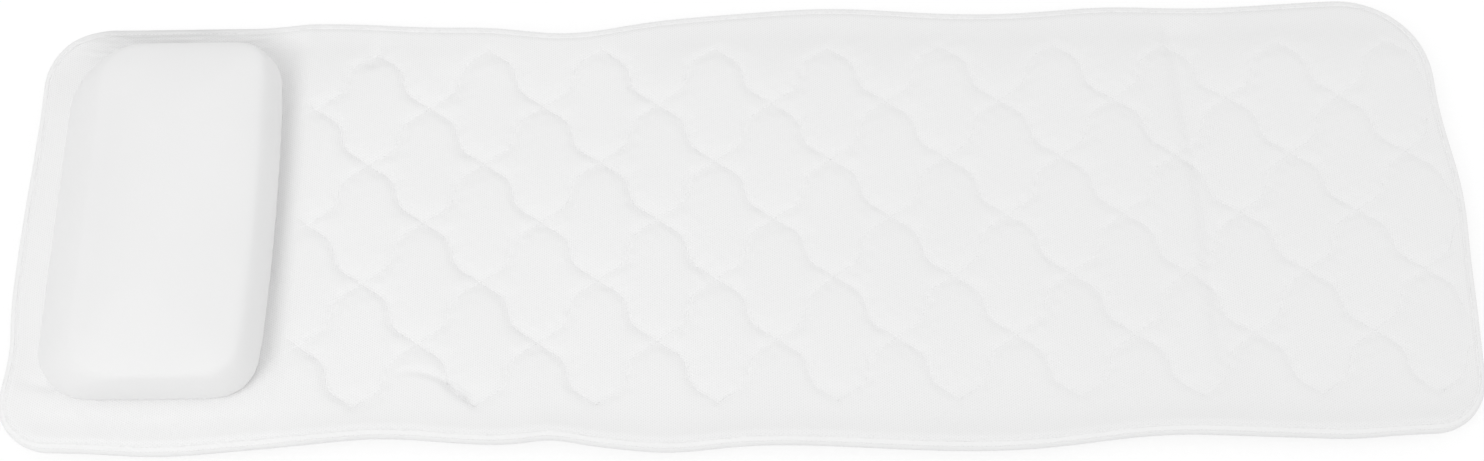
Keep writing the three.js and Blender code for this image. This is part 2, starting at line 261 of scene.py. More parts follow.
# %% Fibre group
FIBRE_DETAIL = {"Fuzz": 3.0, "Cloud": 2.0}


def fibre_group():
    """Fuzz for the bump and slow clouds for the tone of a cloth."""
    inputs = {"Place": "Vector", "Fuzz Scale": "Float", "Cloud Scale": "Float"}
    tree, start, end = new_group("cloth_fibre", inputs, dict.fromkeys(FIBRE_DETAIL, "Float"))
    for label, detail in FIBRE_DETAIL.items():
        noise = add_node(tree, "ShaderNodeTexNoise", {
            "Vector": start["Place"], "Detail": detail, "Scale": start[f"{label} Scale"]})
        fill_inputs(tree, end, {label: noise.outputs["Fac"]})
    return tree


FIBRE = fibre_group()
print(FIBRE.name, len(FIBRE.nodes), "nodes")

# %% Sewn line group
STITCH_ROWS = 6
# The lines that rise to the right are sewn slacker than the falling ones: share of the falling lines' depth.
RISING_SHARE = 0.75
# The flat border begins so many rows inside the last one, and is full so many past it.
BORDER_ROWS = (0.6, 0.4)
# Strength of the quilting at which the border beside it shows in full.
BORDER_STRENGTH = 0.4


def sewn_line_group():
    """Masks from a lattice place (u, v, strength): 1 on a sewn line, 1 on the border past the last row."""
    inputs = {"Lattice": "Vector", "Width": "Float"}
    tree, start, end = new_group("sewn_line", inputs, {"Line": "Float", "Border": "Float"})
    place = parts_of(tree, start["Lattice"])
    half = STITCH_ROWS / 2
    line = 0.0
    for own, other, middle_row, share in (("X", "Y", half, 1.0), ("Y", "X", -half, RISING_SHARE)):
        whole = calculate(tree, "ROUND", place[own])
        gap = calculate(tree, "ABSOLUTE", calculate(tree, "SUBTRACT", place[own], whole))
        close = ramp(tree, gap, 0.0, start["Width"], share, 0.0, smooth=True)
        row = calculate(tree, "SUBTRACT", whole, place[other])
        sewn = calculate(tree, "COMPARE", row, middle_row, half)
        line = calculate(tree, "MAXIMUM", line, calculate(tree, "MULTIPLY", close, sewn))
    across = calculate(tree, "SUBTRACT", place["X"], place["Y"])
    rows_out = calculate(tree, "ABSOLUTE", calculate(tree, "SUBTRACT", across, half))
    past = ramp(tree, rows_out, half - BORDER_ROWS[0], half + BORDER_ROWS[1], smooth=True)
    strong = ramp(tree, place["Z"], 0.0, BORDER_STRENGTH)
    fill_inputs(tree, end, {"Line": calculate(tree, "MULTIPLY", line, place["Z"]),
                            "Border": calculate(tree, "MULTIPLY", past, strong)})
    return tree


SEWN_LINE = sewn_line_group()
print(SEWN_LINE.name, len(SEWN_LINE.nodes), "nodes")

# %% Painted shade group
# Where the shade behind the pillow is painted: along which axis, from where it begins to where it is full.
PAINTED_SHADE_REACH = (("X", -0.6, -0.555), ("X", -0.41, -0.455), ("Y", 0.166, 0.178))
# The painted shade lies in long streaks, as the fine folds there do: how many to a metre along and across.
PAINTED_SHADE_STREAKS = (14.0, 170.0, 0.0)
# From the dark side of a streak to its light side: the noise there, and how much shade is painted.
PAINTED_SHADE_NOISE = (0.38, 0.62)
PAINTED_SHADE_RANGE = (1.0, 0.45)


def painted_shade_group():
    """Painted shade behind the pillow: its shadow on the border and the shade in the fine folds there."""
    tree, start, end = new_group("pillow_shadow_painted", {"Place": "Vector"}, {"Shade": "Float"})
    place = parts_of(tree, start["Place"])
    drawn = add_node(tree, "ShaderNodeVectorMath", {0: start["Place"], 1: PAINTED_SHADE_STREAKS}, operation="MULTIPLY")
    folds = add_node(tree, "ShaderNodeTexNoise", {"Vector": drawn.outputs[0], "Scale": 1.0, "Detail": 1.0})
    shade = ramp(tree, folds.outputs["Fac"], *PAINTED_SHADE_NOISE, *PAINTED_SHADE_RANGE)
    for axis, none, full in PAINTED_SHADE_REACH:
        shade = calculate(tree, "MULTIPLY", shade, ramp(tree, place[axis], none, full, smooth=True))
    fill_inputs(tree, end, {"Shade": shade})
    return tree


PAINTED_SHADE_BEHIND_PILLOW = painted_shade_group()
print(PAINTED_SHADE_BEHIND_PILLOW.name, len(PAINTED_SHADE_BEHIND_PILLOW.nodes), "nodes")

# %% [markdown]
# ## Finishes
# Every cloth here is white polyester, and what tells them apart is their surface. The quilted face and
# the underside are knitted with eyelets, the pillow is a smooth brushed cloth, the binding is a ribbed
# tape and the cups are clear soft plastic. Each finish is one short function, with the plain numbers on
# the shader's own sockets and only what varies over the surface coming from nodes.

# %% Cloth shader
PLACE = "cloth_place"
# Tone that the painted shade behind the pillow multiplies the cloth's colour by.
PAINTED_SHADE_TONE = (0.82, 0.82, 0.82)


def new_material(name):
    """New material; gives the material, its tree and its Principled shader."""
    material = bpy.data.materials.new(name)
    material.use_nodes = True
    tree = material.node_tree
    return material, tree, tree.nodes["Principled BSDF"]


def cloth_place(tree, attribute=PLACE):
    """Where this spot lies on the flat cloth, in metres, or another place that the mesh remembers."""
    return add_node(tree, "ShaderNodeAttribute", attribute_name=attribute).outputs["Vector"]


def tint(tree, factor, first, second, blend="MIX"):
    """Colour between two tones, either of which may come from another node."""
    tones = [tone if isinstance(tone, bpy.types.NodeSocket) else (*tone, 1.0) for tone in (first, second)]
    inputs = {0: factor, 6: tones[0], 7: tones[1]}
    return add_node(tree, "ShaderNodeMix", inputs, data_type="RGBA", blend_type=blend).outputs[2]


def use_group(tree, group, **inputs):
    """Places a shared effect in a material with its own values; gives its outputs."""
    named = {key.replace("_", " ").title(): value for key, value in inputs.items()}
    return add_node(tree, "ShaderNodeGroup", named, node_tree=group).outputs


def bump(tree, height, depth, normal=None):
    """Bump of this depth in metres, on top of an earlier one."""
    inputs = {"Height": height, "Distance": depth}
    if normal is not None:
        inputs["Normal"] = normal
    return add_node(tree, "ShaderNodeBump", inputs).outputs["Normal"]


def fibrous(tree, place, light, fuzz_scale, cloud_scale, darkest, fuzz_depth):
    """Cloudy tone and fuzzy normal of a cloth, whose darkest clouds are a share of its light tone."""
    fibre = use_group(tree, FIBRE, place=place, fuzz_scale=fuzz_scale, cloud_scale=cloud_scale)
    cloudy = tint(tree, fibre["Cloud"], light, [darkest * value for value in light])
    return cloudy, bump(tree, fibre["Fuzz"], fuzz_depth)


def paint_shade_behind_pillow(tree, colour):
    """Colour with the painted shade behind the pillow in it."""
    shade = use_group(tree, PAINTED_SHADE_BEHIND_PILLOW, place=cloth_place(tree))["Shade"]
    return tint(tree, shade, colour, PAINTED_SHADE_TONE, "MULTIPLY")


print("patterns follow the attribute", PLACE)

# %% Knitted finishes
STITCH_PLACE = "stitch_place"
LINE_WIDTH = 0.016
LINE_DEPTH = 0.3 * MM
# The sewn lines are painted lighter than the knit: partly the white thread, partly painted light that offsets
# the shade in their grooves.
LINE_TONE = (0.93, 0.93, 0.93)
# The flat border past the last row is coloured a shade darker than the puffs.
BORDER_TONE = (0.98, 0.98, 0.98)
# Grain of a cloth: fuzz and clouds to a metre, its darkest clouds as a share of its tone, depth of the fuzz.
KNIT_GRAIN = (900.0, 9.0, 0.975, 0.1 * MM)


def sewn_down(tree, colour, normal):
    """Colour and normal of the quilted face: border, sewn lines and the painted shade behind the pillow."""
    sewn = use_group(tree, SEWN_LINE, lattice=cloth_place(tree, STITCH_PLACE), width=LINE_WIDTH)
    colour = tint(tree, sewn["Border"], colour, BORDER_TONE, "MULTIPLY")
    # The painted shade behind the pillow goes over the sewn lines as well.
    colour = paint_shade_behind_pillow(tree, tint(tree, sewn["Line"], colour, LINE_TONE))
    return colour, bump(tree, calculate(tree, "SUBTRACT", 1.0, sewn["Line"]), LINE_DEPTH, normal)


def knitted_finish(name, pitch, light, eyelet_tone, depth, quilted=False):
    """White knit with rows of eyelets, soft fuzz and slow clouds, and sewn lines where it is quilted."""
    material, tree, shader = new_material(name)
    place = cloth_place(tree)
    cloudy, fuzzy = fibrous(tree, place, light, *KNIT_GRAIN)
    eyelet = use_group(tree, OPEN_KNIT, place=place, pitch=pitch)["Eyelet"]
    colour = tint(tree, eyelet, cloudy, eyelet_tone)
    normal = bump(tree, calculate(tree, "SUBTRACT", 1.0, eyelet), depth, fuzzy)
    if quilted:
        colour, normal = sewn_down(tree, colour, normal)
    fill_inputs(tree, shader, {
        "Base Color": colour, "Normal": normal, "Roughness": 0.92, "Specular IOR Level": 0.25,
        "Sheen Weight": 0.12, "Sheen Roughness": 0.6})
    return material


QUILTED_MESH = knitted_finish("quilted_mesh", 1.9 * MM, (0.897, 0.897, 0.897), (0.827, 0.827, 0.827),
                              0.07 * MM, quilted=True)
UNDERSIDE_MESH = knitted_finish("underside_mesh", 1.5 * MM, (0.85, 0.85, 0.852), (0.7, 0.7, 0.71), 0.12 * MM)
print("knitted finishes", QUILTED_MESH.name, UNDERSIDE_MESH.name)

# %% Brushed cloth and tape
BRUSHED_GRAIN = (1400.0, 14.0, 0.97, 0.12 * MM)
TAPE_GRAIN = (1200.0, 25.0, 0.96, 0.1 * MM)
ALONG_TAPE = "along_tape"


def brushed_finish(name, light):
    """Smooth brushed cloth: faint fuzz, a slow change of tone and a soft sheen."""
    material, tree, shader = new_material(name)
    cloudy, fuzzy = fibrous(tree, cloth_place(tree), light, *BRUSHED_GRAIN)
    fill_inputs(tree, shader, {
        "Base Color": cloudy, "Normal": fuzzy, "Roughness": 0.85, "Specular IOR Level": 0.3,
        "Sheen Weight": 0.3, "Sheen Roughness": 0.5})
    return material


def ribbed_finish(name, light, rib_pitch, rib_depth):
    """Woven tape with ribs across its length. The tape's own UV map runs along it in metres."""
    material, tree, shader = new_material(name)
    along = add_node(tree, "ShaderNodeUVMap", uv_map=ALONG_TAPE).outputs["UV"]
    cloudy, fuzzy = fibrous(tree, along, light, *TAPE_GRAIN)
    phase = calculate(tree, "MULTIPLY", parts_of(tree, along)["X"], math.tau / rib_pitch)
    ribbed = bump(tree, calculate(tree, "SINE", phase), rib_depth, fuzzy)
    # The tape behind the pillow carries the painted shade too.
    fill_inputs(tree, shader, {
        "Base Color": paint_shade_behind_pillow(tree, cloudy), "Normal": ribbed, "Roughness": 0.8, "Sheen Weight": 0.1})
    return material


PILLOW_CLOTH = brushed_finish("pillow_cloth", (0.866, 0.866, 0.866))
BINDING_TAPE = ribbed_finish("binding_tape", (0.905, 0.905, 0.905), 1.0 * MM, 0.03 * MM)
print("woven finishes", PILLOW_CLOTH.name, BINDING_TAPE.name)

# %% Thread and clear plastic
THREAD_GRAIN = (2500.0, 60.0, 0.94, 0.08 * MM)
CUP_TINT = (0.9, 0.94, 0.96, 1.0)
CUP_ROUGHNESS = (0.08, 0.24)


def thread_finish(name, light):
    """Spun sewing thread: a fine fuzz and a little gloss."""
    material, tree, shader = new_material(name)
    cloudy, fuzzy = fibrous(tree, cloth_place(tree), light, *THREAD_GRAIN)
    fill_inputs(tree, shader, {"Base Color": cloudy, "Normal": fuzzy, "Roughness": 0.6})
    return material


def clear_cup_finish(name):
    """Clear soft plastic with a faint cool tint and slightly uneven gloss."""
    material, tree, shader = new_material(name)
    place = add_node(tree, "ShaderNodeTexCoord").outputs["Object"]
    uneven = use_group(tree, FIBRE, place=place, fuzz_scale=160.0, cloud_scale=40.0)
    low, high = CUP_ROUGHNESS
    fill_inputs(tree, shader, {
        "Base Color": CUP_TINT, "Normal": bump(tree, uneven["Fuzz"], 0.05 * MM), "IOR": 1.5,
        "Roughness": ramp(tree, uneven["Cloud"], start=low, stop=high), "Transmission Weight": 0.3,
        "Alpha": 0.6})
    return material


WHITE_THREAD = thread_finish("white_thread", (0.9, 0.9, 0.9))
CLEAR_CUP = clear_cup_finish("clear_cup")
print("finishes", [material.name for material in bpy.data.materials])

# %% [markdown]
# ## The mat's outline and how it lies
# The mat was packed folded, so its long edges aren't straight: they draw in at the folds and swell
# between them. A few smooth bumps along each edge give that line, and the corners are quarter circles.
# Where the edge draws in, the spare cloth has to go somewhere, so the edge lifts a little there. All
# layers share this lie, so top, underside and binding stay together.

# %% Outline
HEAD_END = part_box("edge_binding_head")[0].x
FOOT_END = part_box("edge_binding_foot")[1].x
FOLDS = {joint["name"]: Vector(joint["pos_m"]) for joint in frame["joints"]}
BACK_FOLD = FOLDS["back_fold"].x
FOOT_FOLD = FOLDS["foot_fold"].x
HALF_WIDTH = 200 * MM
NEAR, FAR = -1, 1
HEAD_CORNER = {NEAR: 48 * MM, FAR: 62 * MM}
FOOT_CORNER = {NEAR: 52 * MM, FAR: 84 * MM}
# Each wave of a long edge, in millimetres: a place along the edge, how far out it swells and its spread.
EDGE_WAVES = {
    NEAR: [(-486, 5, 57), (-307, -7, 68), (-163, -4, 27), (-66, 7, 54), (273, 14, 185), (339, -13, 98),
           (504, 2, 35)],
    FAR: [(-270, -6, 55), (-160, -16, 68), (74, 9, 91), (334, 6, 65), (562, 10, 129)],
}


def swell(along, waves):
    """How far out an edge swells, or draws in, at a place along it."""
    return sum(size * MM * np.exp(-((along / MM - place) / spread) ** 2) for place, size, spread in waves)


def corner_of(x, side):
    """Radius of the corner that x is nearer to, and how far past its start x is."""
    radius = np.where(x < 0, HEAD_CORNER[side], FOOT_CORNER[side])
    end = np.where(x < 0, -HEAD_END, FOOT_END)
    return radius, np.abs(x) - (end - radius)


def edge_y(x, side):
    """Finished edge of the mat on one side."""
    radius, past = corner_of(x, side)
    past = np.clip(past, 0, radius)
    straight = np.sign(x) * (np.abs(x) - past)
    half = HALF_WIDTH + swell(straight, EDGE_WAVES[side])
    return side * (half - radius + np.sqrt(np.maximum(radius ** 2 - past ** 2, 0)))


def out_of_corner(past_x, past_y):
    """Distance out from a round corner's middle, or straight out beside it."""
    in_corner = (past_x > 0) & (past_y > 0)
    return np.where(in_corner, np.hypot(past_x, past_y), np.maximum(past_x, past_y))


def side_distance(x, y, side):
    """Distance in from the finished edge, as seen from one long side."""
    radius, past_x = corner_of(x, side)
    past_y = side * y - (HALF_WIDTH + swell(x, EDGE_WAVES[side])) + radius
    return radius - out_of_corner(past_x, past_y)


def edge_distance(x, y):
    """Distance in from the finished edge."""
    return np.where(y < 0, side_distance(x, y, NEAR), side_distance(x, y, FAR))


print("mat", round(FOOT_END - HEAD_END, 3), "m long, folds at", round(BACK_FOLD, 3), round(FOOT_FOLD, 3))

# %% Lie of the mat
LIFT_SHARE = 0.4
LIFT_REACH = 40 * MM
SWELL = 0.7 * MM
SWELL_LENGTH = 190 * MM
# Where the slow swells begin, off the pillow, and where they are full.
OFF_PILLOW = (-0.41, -0.33)
RIPPLE_WAVES = 7
# Each wave of a ripple is between these shares of its length.
RIPPLE_LENGTHS = (0.75, 1.35)


def soft_step(value, low, high):
    """0 below low, 1 above high, smooth between."""
    share = np.clip((value - low) / (high - low), 0, 1)
    return share * share * (3 - 2 * share)


def bell(value, spread):
    """1 at nought, dying away smoothly on both sides."""
    return np.exp(-(value / spread) ** 2)


def ripple(x, y, length, seed):
    """Seeded mix of gentle waves of about this length, in every direction, from about -1 to 1."""
    draw = np.random.default_rng(seed)
    total = np.zeros(np.broadcast(x, y).shape)
    for _ in range(RIPPLE_WAVES):
        heading = draw.uniform(0, math.tau)
        scale = math.tau / (length * draw.uniform(*RIPPLE_LENGTHS))
        total += np.sin(scale * (x * math.cos(heading) + y * math.sin(heading)) + draw.uniform(0, math.tau))
    return total / math.sqrt(RIPPLE_WAVES)


def mat_lie(x, y):
    """How far the whole mat is lifted off its flat place, the same for all its layers."""
    lift = np.zeros(np.broadcast(x, y).shape)
    for side in (NEAR, FAR):
        reach = bell(np.maximum(side_distance(x, y, side), 0), LIFT_REACH)
        drawn_in = np.maximum(-swell(x, EDGE_WAVES[side]), 0)
        lift = lift + LIFT_SHARE * drawn_in * np.where(np.sign(y) == side, reach, 0)
    return lift + SWELL * ripple(x, y, SWELL_LENGTH, seed=3) * soft_step(x, *OFF_PILLOW)


sample = np.linspace(HEAD_END, FOOT_END, 60)
print("edge lift mm", (mat_lie(sample, edge_y(sample, NEAR)) / MM).round(1).tolist()[::10])

# %% [markdown]
# ## The quilted face
# The top cloth is thick spacer mesh sewn through along wavy diagonals, which leaves rows of puffed cells
# shaped like an ogee trellis. One rule gives the whole face: every point of the mat has a place (u, v)
# on the lattice of stitch lines, where whole numbers are on a line, and the cloth rises as a rounded
# puff between lines. The lines swing from side to side, so the place is found by a short iteration. A
# fine grid carries the result, closed beneath to make the padded body of the mat. What packing and the
# pillow do to the face is added to the same height, so that the stitches can follow it too.

# %% Lattice of stitch lines
STITCH_PITCH = 101.1 * MM
STITCH_ROW = 55.8 * MM
STITCH_START = -326.7 * MM
STITCH_WAVE = 4.6 * MM
STITCH_SHARPNESS = 0.25
EDGE_LENGTH = math.hypot(STITCH_PITCH / 2, STITCH_ROW)
SWING_X = STITCH_ROW / EDGE_LENGTH
SWING_Y = STITCH_PITCH / 2 / EDGE_LENGTH
SWING_ROUNDS = 40


def stitch_swing(t):
    """How far a stitch line swings off its straight diagonal."""
    return STITCH_WAVE * (np.sin(math.tau * t) - STITCH_SHARPNESS * np.sin(2 * math.tau * t))


def lattice_point(u, v):
    """Place on the mat of a lattice place."""
    x = STITCH_START + (u + v) * STITCH_PITCH / 2
    y = (u - v - STITCH_ROWS / 2) * STITCH_ROW
    swing_u, swing_v = stitch_swing(u), stitch_swing(v)
    return x + (swing_u + swing_v) * SWING_X, y + (swing_v - swing_u) * SWING_Y


def lattice_of(x, y):
    """Lattice place of each point of the mat, found by undoing the swing step by step."""
    u, v = np.zeros_like(x), np.zeros_like(x)
    for _ in range(SWING_ROUNDS):
        swing_u, swing_v = stitch_swing(u), stitch_swing(v)
        along = (x - (swing_u + swing_v) * SWING_X - STITCH_START) / (STITCH_PITCH / 2)
        across = (y - (swing_v - swing_u) * SWING_Y) / STITCH_ROW + STITCH_ROWS / 2
        u, v = (along + across) / 2, (along - across) / 2
    return u, v


there_and_back = lattice_of(*lattice_point(np.array([2.3]), np.array([-0.6])))
print("lattice place 2.3, -0.6 comes back as", [round(float(value[0]), 4) for value in there_and_back])

# %% Puffs between the stitch lines
CELL_WIDTH = STITCH_PITCH * STITCH_ROW / EDGE_LENGTH
# Sewing pushes the filling along, so a puff has a gentle side and a steep one: how far each rise reaches.
GENTLE_REACH = 7.5 * MM
STEEP_REACH = 3.5 * MM
STITCH_SOFTNESS = 1.2 * MM


def puff(t, reach, cells=1):
    """Rise across a puff so many cells wide: steep beside its stitch line, nearly flat in the middle."""
    wide = cells * CELL_WIDTH / math.pi
    off_line = np.hypot(wide * np.sin(math.pi * t / cells), STITCH_SOFTNESS) - STITCH_SOFTNESS
    return 1 - np.exp(-off_line / reach)


def reach_at(t):
    """Reach of the rise across one cell, from its gentle side to its steep one."""
    return GENTLE_REACH + (STEEP_REACH - GENTLE_REACH) * t


def slacker(rise):
    """Rise beside a line that rises to the right, which is sewn slacker."""
    return 1 - RISING_SHARE * (1 - rise)


def quilt_rise(u, v):
    """Share of the full puff at a lattice place: 0 on the stitch lines, 1 on the border past the last row."""
    in_u, in_v = u - np.floor(u), v - np.floor(v)
    row = np.floor(u) - np.floor(v)
    low_row = row <= 0
    outer_u = puff(np.where(low_row, 1 - in_u, in_u), np.where(low_row, STEEP_REACH, GENTLE_REACH), 2)
    outer_v = puff(np.where(low_row, in_v, 1 - in_v), np.where(low_row, GENTLE_REACH, STEEP_REACH), 2)
    outer_v = slacker(outer_v)
    past = (row < -1) | (row > STITCH_ROWS + 1)
    next_to = (row < 0) | (row > STITCH_ROWS)
    last = (row == 0) | (row == STITCH_ROWS)
    choices = [np.ones_like(outer_u), 1 - (1 - outer_u) * (1 - outer_v), outer_u * outer_v]
    between = puff(in_u, reach_at(in_u)) * slacker(puff(in_v, reach_at(in_v)))
    return np.select([past, next_to, last], choices, between)


mid_cell = quilt_rise(np.array([3.5]), np.array([0.5]))
print("cells", round(CELL_WIDTH, 3), "m wide, rise in the middle of one", round(float(mid_cell[0]), 3))

# %% Marks of packing
# The creases of the two folds. The foot's is a little past its fold and leans headwards on the far half. It
# falls fast on its head side, recovers slowly on the other and fades towards the near border.
CREASE_PAST = 10 * MM
CREASE_LEAN = 0.07
CREASE_FADE = (-0.18, -0.08)
FOOT_CREASE = 5.5 * MM
FOOT_CREASE_SPREAD = (10 * MM, 28 * MM)
BACK_CREASE = 1.2 * MM
BACK_CREASE_SPREAD = 14 * MM
# Grooves, in millimetres: from, to, depth and spread. One is a round dent.
GROOVES = [
    ((-260, 138), (-260, 138), 2.5, 16),
    ((-331, 158), (-318, 196), 3, 6),
    ((-617, -137), (-582, -145), 2, 5),
]
# A slack tuck beside the pillow, through three places in millimetres. It begins round the second and dies
# away at the third: how far before and after each.
TUCK = [(-332, -162), (-287, -137), (-227, -166)]
TUCK_BEGIN = (18 * MM, 35 * MM)
TUCK_END = (4 * MM, 8 * MM)
TUCK_DEPTH = 4 * MM
TUCK_SPREAD = 3.2 * MM


def fade_in(value, place, before, after):
    """0 until so far before a place, 1 from so far after it on, smooth between."""
    return soft_step(value, place - before, place + after)


def groove(x, y, start, end, depth, spread):
    """Depth of one groove, rounded at its ends."""
    (from_x, from_y), (run_x, run_y) = start, np.subtract(end, start)
    off_x, off_y = x / MM - from_x, y / MM - from_y
    along = np.clip((off_x * run_x + off_y * run_y) / max(run_x ** 2 + run_y ** 2, 1), 0, 1)
    off = np.hypot(off_x - along * run_x, off_y - along * run_y)
    return depth * MM * bell(off, spread)


def packing_marks(x, y):
    """Depth of the fold creases, the grooves and the slack tuck beside the pillow."""
    crease_x = FOOT_FOLD + CREASE_PAST - CREASE_LEAN * np.maximum(y, 0)
    spread = np.where(x < crease_x, *FOOT_CREASE_SPREAD)
    depth = FOOT_CREASE * bell(x - crease_x, spread) * soft_step(y, *CREASE_FADE)
    depth = depth + BACK_CREASE * bell(x - BACK_FOLD, BACK_CREASE_SPREAD)
    for each in GROOVES:
        depth = depth + groove(x, y, *each)
    tuck_x, tuck_y = np.array(TUCK).T * MM
    line = np.polyval(np.polyfit(tuck_x, tuck_y, 2), x)
    window = fade_in(x, tuck_x[1], *TUCK_BEGIN) * fade_in(-x, -tuck_x[2], *TUCK_END)
    return depth + TUCK_DEPTH * window * bell(y - line, TUCK_SPREAD)


on_crease = packing_marks(np.array([FOOT_FOLD + CREASE_PAST]), np.zeros(1))
print("the foot's crease is", round(float(on_crease[0]) / MM, 1), "mm deep")

# %% What the pillow does to the mat
PILLOW_LOW, PILLOW_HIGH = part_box("pillow_cover")
# The far border is pressed down beside the pillow. Along the mat and across it: how far before the pillow's
# end or side that begins and how far after it is full.
PRESSED = 9 * MM
PRESSED_ALONG = (20 * MM, 40 * MM)
PRESSED_ACROSS = (4 * MM, 30 * MM)
FURROW = 3 * MM
FURROW_PLACE = 11 * MM
FURROW_SPREAD = 9 * MM
# The pillow's bed: its corners, how deep the pillow sinks, the room under it and how far in its edge slopes.
PILLOW_CORNER = 36 * MM
PILLOW_SINK = 3.5 * MM
BED_ROOM = 0.5 * MM
BED_SLOPE = (10 * MM, 15 * MM)
# The mat is drawn up to the seam along the pillow's head side: how far, over what width, and how far each
# way.
DRAWN_UP = 4 * MM
DRAWN_UP_WIDTH = 12 * MM
DRAWN_UP_LENGTH = 130 * MM
# Fine wrinkles: their share of the pressing, from one to the next, and how far and how slowly they wander.
WRINKLE_SHARE = 0.11
WRINKLE_PITCH = 9 * MM
WRINKLE_WANDER = 4 * MM
WANDER_LENGTH = 80 * MM


def pressed_border(x, y):
    """How far the border is pressed down on the pillow's far side, with a furrow along the pillow."""
    beside = fade_in(x, PILLOW_LOW.x, *PRESSED_ALONG) * fade_in(-x, -PILLOW_HIGH.x, *PRESSED_ALONG)
    at_edge = PRESSED * fade_in(y, PILLOW_HIGH.y, *PRESSED_ACROSS)
    return beside * (at_edge + FURROW * bell(y - PILLOW_HIGH.y - FURROW_PLACE, FURROW_SPREAD))


def under_pillow(x, y):
    """How far the mat is pressed down under the pillow."""
    middle, half = (PILLOW_LOW.x + PILLOW_HIGH.x) / 2, (PILLOW_HIGH.x - PILLOW_LOW.x) / 2
    past_x = np.abs(x - middle) - half + PILLOW_CORNER
    past_y = np.abs(y) - PILLOW_HIGH.y + PILLOW_CORNER
    inside = PILLOW_CORNER - out_of_corner(past_x, past_y)
    return (PILLOW_SINK + BED_ROOM) * soft_step(inside, *BED_SLOPE)


def drawn_up(x, y):
    """How far the mat is drawn up to the seam along the pillow's head side."""
    return DRAWN_UP * bell(x - PILLOW_LOW.x, DRAWN_UP_WIDTH) * np.exp(-(y / DRAWN_UP_LENGTH) ** 4)


def far_wrinkles(x, y):
    """Fine wrinkles along the pressed border, where the pillow's seam gathers it."""
    wander = WRINKLE_WANDER * ripple(x, np.zeros_like(x), WANDER_LENGTH, seed=17)
    return WRINKLE_SHARE * pressed_border(x, y) * np.sin(math.tau * (y + wander) / WRINKLE_PITCH)


print("pillow from", round(PILLOW_LOW.x, 3), "to", round(PILLOW_HIGH.x, 3), "m along the mat")

# %% Height of the quilted face
EDGE_HEIGHT = 26.6 * MM
QUILT_VALLEY = 25.8 * MM
QUILT_CROWN = 30.5 * MM
BORDER_LEVEL = 26.8 * MM
PILLOW_BED = 25 * MM
LEAST_DEPTH = 1 * MM
# Share of the full depth at the foot end, where the quilting has been pressed flatter, and where that begins
# and ends.
FLATTER = 0.7
FLATTER_REACH = (-0.25, 0.2)
# Where the mat rises from the pillow's bed, and where the quilting begins.
MAT_RISE = (-0.405, -0.382)
QUILT_FADE = (-0.393, -0.372)
# How far past the last row, in rows, the puffs come down to the border.
LAST_ROW = (-0.5, 0.5)
# How far in from the edge the border's slope begins and ends, and how full its curve is.
BORDER = (8.0 * MM, 30 * MM)
BORDER_CURVE = 0.7
TAPE = 0.8 * MM
# The padded cloth bulges up beside the tape and stands a little above it.
BESIDE_TAPE = TAPE + 1.6 * MM
BULGE = (5.5 * MM, 9.5 * MM)
PUCKER = 0.26 * MM
PUCKER_LENGTH = 12 * MM


def mat_top(x, y):
    """Height of the quilted face."""
    u, v = lattice_of(x, y)
    rise = quilt_rise(u, v)
    depth = (QUILT_CROWN - QUILT_VALLEY) * (1 - (1 - FLATTER) * soft_step(x, *FLATTER_REACH))
    past_rows = np.abs(u - v - STITCH_ROWS / 2) - STITCH_ROWS / 2
    crown = QUILT_CROWN - (QUILT_CROWN - BORDER_LEVEL) * soft_step(past_rows, *LAST_ROW)
    valley = np.minimum(QUILT_CROWN - depth, crown - LEAST_DEPTH)
    puffed = valley + (crown - valley) * rise
    puffed = puffed + PUCKER * ripple(x, y, PUCKER_LENGTH, seed=11) * (1 - rise) * rise * 4
    laid = PILLOW_BED + (crown - PILLOW_BED) * soft_step(x, *MAT_RISE) - packing_marks(x, y)
    laid = laid - (crown - puffed) * soft_step(x, *QUILT_FADE)
    inside = edge_distance(x, y)
    border = soft_step(inside, *BORDER) ** BORDER_CURVE
    bulge = soft_step(inside, *BULGE)
    low = EDGE_HEIGHT + BESIDE_TAPE * bulge
    level = low + (laid - low) * border + far_wrinkles(x, y) * bulge
    return level - pressed_border(x, y) - under_pillow(x, y) + drawn_up(x, y) + mat_lie(x, y)


print("face height in the middle", round(float(mat_top(np.zeros(1), np.zeros(1))[0]), 4), "m")

# %% Underside height
BASE_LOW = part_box("base_panel_seat")[0].z
BASE_CLOTH = 1.6 * MM
DIMPLE = 2.2 * MM


def mat_under(x, y):
    """Height of the underside cloth, which the quilting pulls up into shallow dimples."""
    border = soft_step(edge_distance(x, y), *BORDER)
    quilted = soft_step(x, *QUILT_FADE)
    return BASE_LOW + DIMPLE * (1 - quilt_rise(*lattice_of(x, y))) * border * quilted + mat_lie(x, y)


print("underside height in the middle", round(float(mat_under(np.zeros(1), np.zeros(1))[0]), 4), "m")

# %% Grid over the mat
LAYER_INSET = 1.5 * MM
SPANS = {"back_and_seat": (HEAD_END + LAYER_INSET, FOOT_FOLD), "foot": (FOOT_FOLD, FOOT_END - LAYER_INSET)}
THIN_OUT = 3
# Steps round a corner come closer together, so a corner has more of them than its radius alone would.
CORNER_SHARE = 1.4


def steps_in(length, step):
    """Number of steps in a length, rounded to a multiple that the sparser lower faces can share."""
    return THIN_OUT * max(1, round(length / step / THIN_OUT))


def stations(x_from, x_to, step):
    """Steps along the mat, closer together where a round corner closes in on an end."""
    at_head = x_from < BACK_FOLD
    corner = HEAD_CORNER[FAR] if at_head else FOOT_CORNER[FAR]
    turn = 1 - np.cos(np.linspace(0, math.pi / 2, steps_in(corner * CORNER_SHARE, step) + 1))
    plain = np.linspace(0, x_to - x_from - corner, steps_in(x_to - x_from - corner, step) + 1)
    if at_head:
        return np.concatenate([x_from + corner * turn[:-1], x_from + corner + plain])
    return np.concatenate([x_from + plain, (x_to - corner * turn[:-1])[::-1]])


